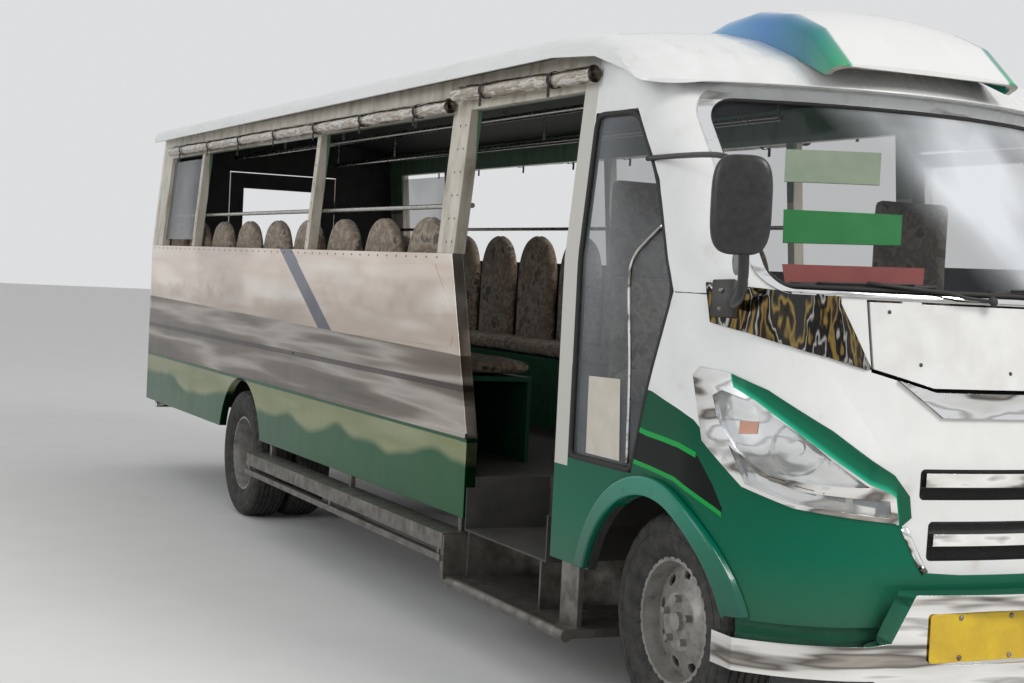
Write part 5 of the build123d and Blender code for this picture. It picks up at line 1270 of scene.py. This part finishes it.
# Door mirrors: moulded black cases with silvered glass on bent steel rods, each braced by a grey disc and a cast
# foot that two screws hold to the corner panel.
MIRROR_TURN = math.radians(28)
MIRROR_X, MIRROR_Y, MIRROR_Z = AXLE_F + 0.500, HALF_W + 0.050, 1.585
CASE_SIZE, CASE_POWER = (0.033, 0.083, 0.136), 0.55
GLASS_SIZE, GLASS_POWER, GLASS_BACK = (0.004, 0.074, 0.125), 0.50, -0.0325
ROD_TOP_Z = 1.742
ROD_TOP_Y = HALF_W - LEAN * (ROD_TOP_Z - BELT_Z)
UPPER_ROD = [(-0.160, ROD_TOP_Y, ROD_TOP_Z), (0.10, ROD_TOP_Y + 0.03, 1.738), (0.40, HALF_W + 0.07, 1.722),
             (0.49, HALF_W + 0.06, 1.700)]
LOWER_ROD = [(0.325, HALF_W - 0.050, 1.318), (0.400, HALF_W - 0.010, 1.318), (0.480, HALF_W + 0.020, 1.360),
             (0.510, HALF_W + 0.040, 1.470)]
FOOT_X = (0.258, 0.262, 0.29, 0.32, 0.352, 0.356)
FOOT_Z = (1.272, 1.276, 1.325, 1.371, 1.375)
FOOT_HIGH = 0.030
FOOT_SCREWS = ((0.300, 1.296), (0.300, 1.350))
case_black = worn_finish("case_black", (0.012, 0.012, 0.013), (0.03, 0.03, 0.03), 35.0, 0.28, bump=0.0003)
disc_grey = worn_finish("disc_grey", (0.16, 0.16, 0.16), (0.28, 0.27, 0.26), 30.0, 0.35)
mirror_face = worn_finish("mirror_face", (0.85, 0.86, 0.87), (0.75, 0.76, 0.77), 8.0, 0.03, 1.0, bump=0.00005)


def add_case(shell, side, size, power, shift=0.0):
    """Rounded mirror case: a ball pressed nearly square and turned in towards the cab."""
    centre = Vector((MIRROR_X, side * MIRROR_Y, MIRROR_Z))
    turn = Matrix.Rotation(side * MIRROR_TURN, 4, "Z")
    for vert in add_ball(shell, 48, 32):
        x, y, z = [math.copysign(abs(c) ** power, c) * width for c, width in zip(vert.co, size)]
        vert.co = centre + turn @ Vector((x + shift, y, z))


def on_corner(side, x, z, lift):
    """Point on the corner panel, found from outside along the diagonal."""
    out = 0.5 * DIAGONAL
    start = (AXLE_F + x + out, side * (HALF_W - 0.04) + side * out, z)
    return laid(nose_skin, [start], (-DIAGONAL, -side * DIAGONAL, 0), lift)[0]


for side, word in SIDES:
    shell = bmesh.new()
    add_case(shell, side, CASE_SIZE, CASE_POWER)
    add_tube(shell, eased([(AXLE_F + x, side * y, z) for x, y, z in UPPER_ROD]), 0.0085)
    add_tube(shell, eased([(AXLE_F + x, side * y, z) for x, y, z in LOWER_ROD]), 0.015)
    new_piece("mirror_case_" + word, shell, case_black,
              replaces=("door_mirrors",) if side == -1 else ())
    shell = bmesh.new()
    add_case(shell, side, GLASS_SIZE, GLASS_POWER, GLASS_BACK)
    new_piece("mirror_plate_" + word, shell, mirror_face)
    hub = Vector((AXLE_F + 0.452, side * (HALF_W + 0.012), 1.436))
    disc = [hub, hub + Vector((0, side * -0.004, 0)), hub + Vector((-0.004, side * 0.010, 0))]
    bar_piece("mirror_disc_" + word, disc, 0.042, disc_grey, "mirror_black", sides=32)
    shell = bmesh.new()
    rows = []
    for z in FOOT_Z:
        row = []
        for x in FOOT_X:
            raised = x in FOOT_X[1:-1] and z in FOOT_Z[1:-1]
            row.append(shell.verts.new(on_corner(side, x, z, FOOT_HIGH if raised else 0.0)))
        rows.append(row)
    skin_rows(shell, rows)
    foot = new_piece("mirror_foot_" + word, shell, screw_black, outward=True)
    modify(foot, "edges", "BEVEL", width=0.004, segments=2)
    shell = bmesh.new()
    for x, z in FOOT_SCREWS:
        add_dome(shell, on_corner(side, x, z, FOOT_HIGH), (DIAGONAL, side * DIAGONAL, 0), 0.007, 0.004)
    new_piece("mirror_foot_screws_" + word, shell, screw_metal)

# Wipers: pressed black arms with rubber blades, each on a domed pivot nut at the foot of the windshield,
# parked along its lower edge.
WIPERS = [
    # blade ends and arm pivot seen from the front as (y, z)
    ((-0.660, 1.374), (-0.240, 1.384), (-0.085, 1.352)),
    ((-0.060, 1.376), (0.400, 1.398), (0.560, 1.352)),
]
BLADE_PARTS, ARM_PARTS = 12, 8
blade_black = worn_finish("blade_black", (0.012, 0.012, 0.012), (0.03, 0.03, 0.03), 40.0, 0.5)


def even_points(start, end, parts):
    return [(start[0] + (end[0] - start[0]) * k / parts, start[1] + (end[1] - start[1]) * k / parts)
            for k in range(parts + 1)]


wiper_skin = surface_of("window_glass", "windshield_frame", "front_body", "front_lid")
shell = bmesh.new()
for inner, outer, pivot in WIPERS:
    blade = even_points(inner, outer, BLADE_PARTS)
    middle = ((inner[0] + outer[0]) / 2, (inner[1] + outer[1]) / 2)
    arm = from_ahead(wiper_skin, even_points(pivot, middle, ARM_PARTS), 0.019)
    add_tube(shell, from_ahead(wiper_skin, blade, 0.007), 0.0045, sides=8, flat=1.6)
    add_tube(shell, from_ahead(wiper_skin, blade[2:11], 0.015), 0.003, sides=8)
    add_tube(shell, arm, 0.0055, sides=8)
    add_dome(shell, arm[0], (1, 0, 0.4), 0.016, 0.012)
new_piece("wiper_set", shell, blade_black, replaces=("wipers",))

# Tail lamps: red moulded plastic blocks screwed to the rear wall, a little faded.
# Their edges are rounded as they come from the mould.
tail_red = worn_finish("tail_red", (0.32, 0.01, 0.01), (0.20, 0.01, 0.01), 22.0, 0.15)
dressed("tail_lamps", tail_red, slot="red_lens", fold=0.008, segments=3)
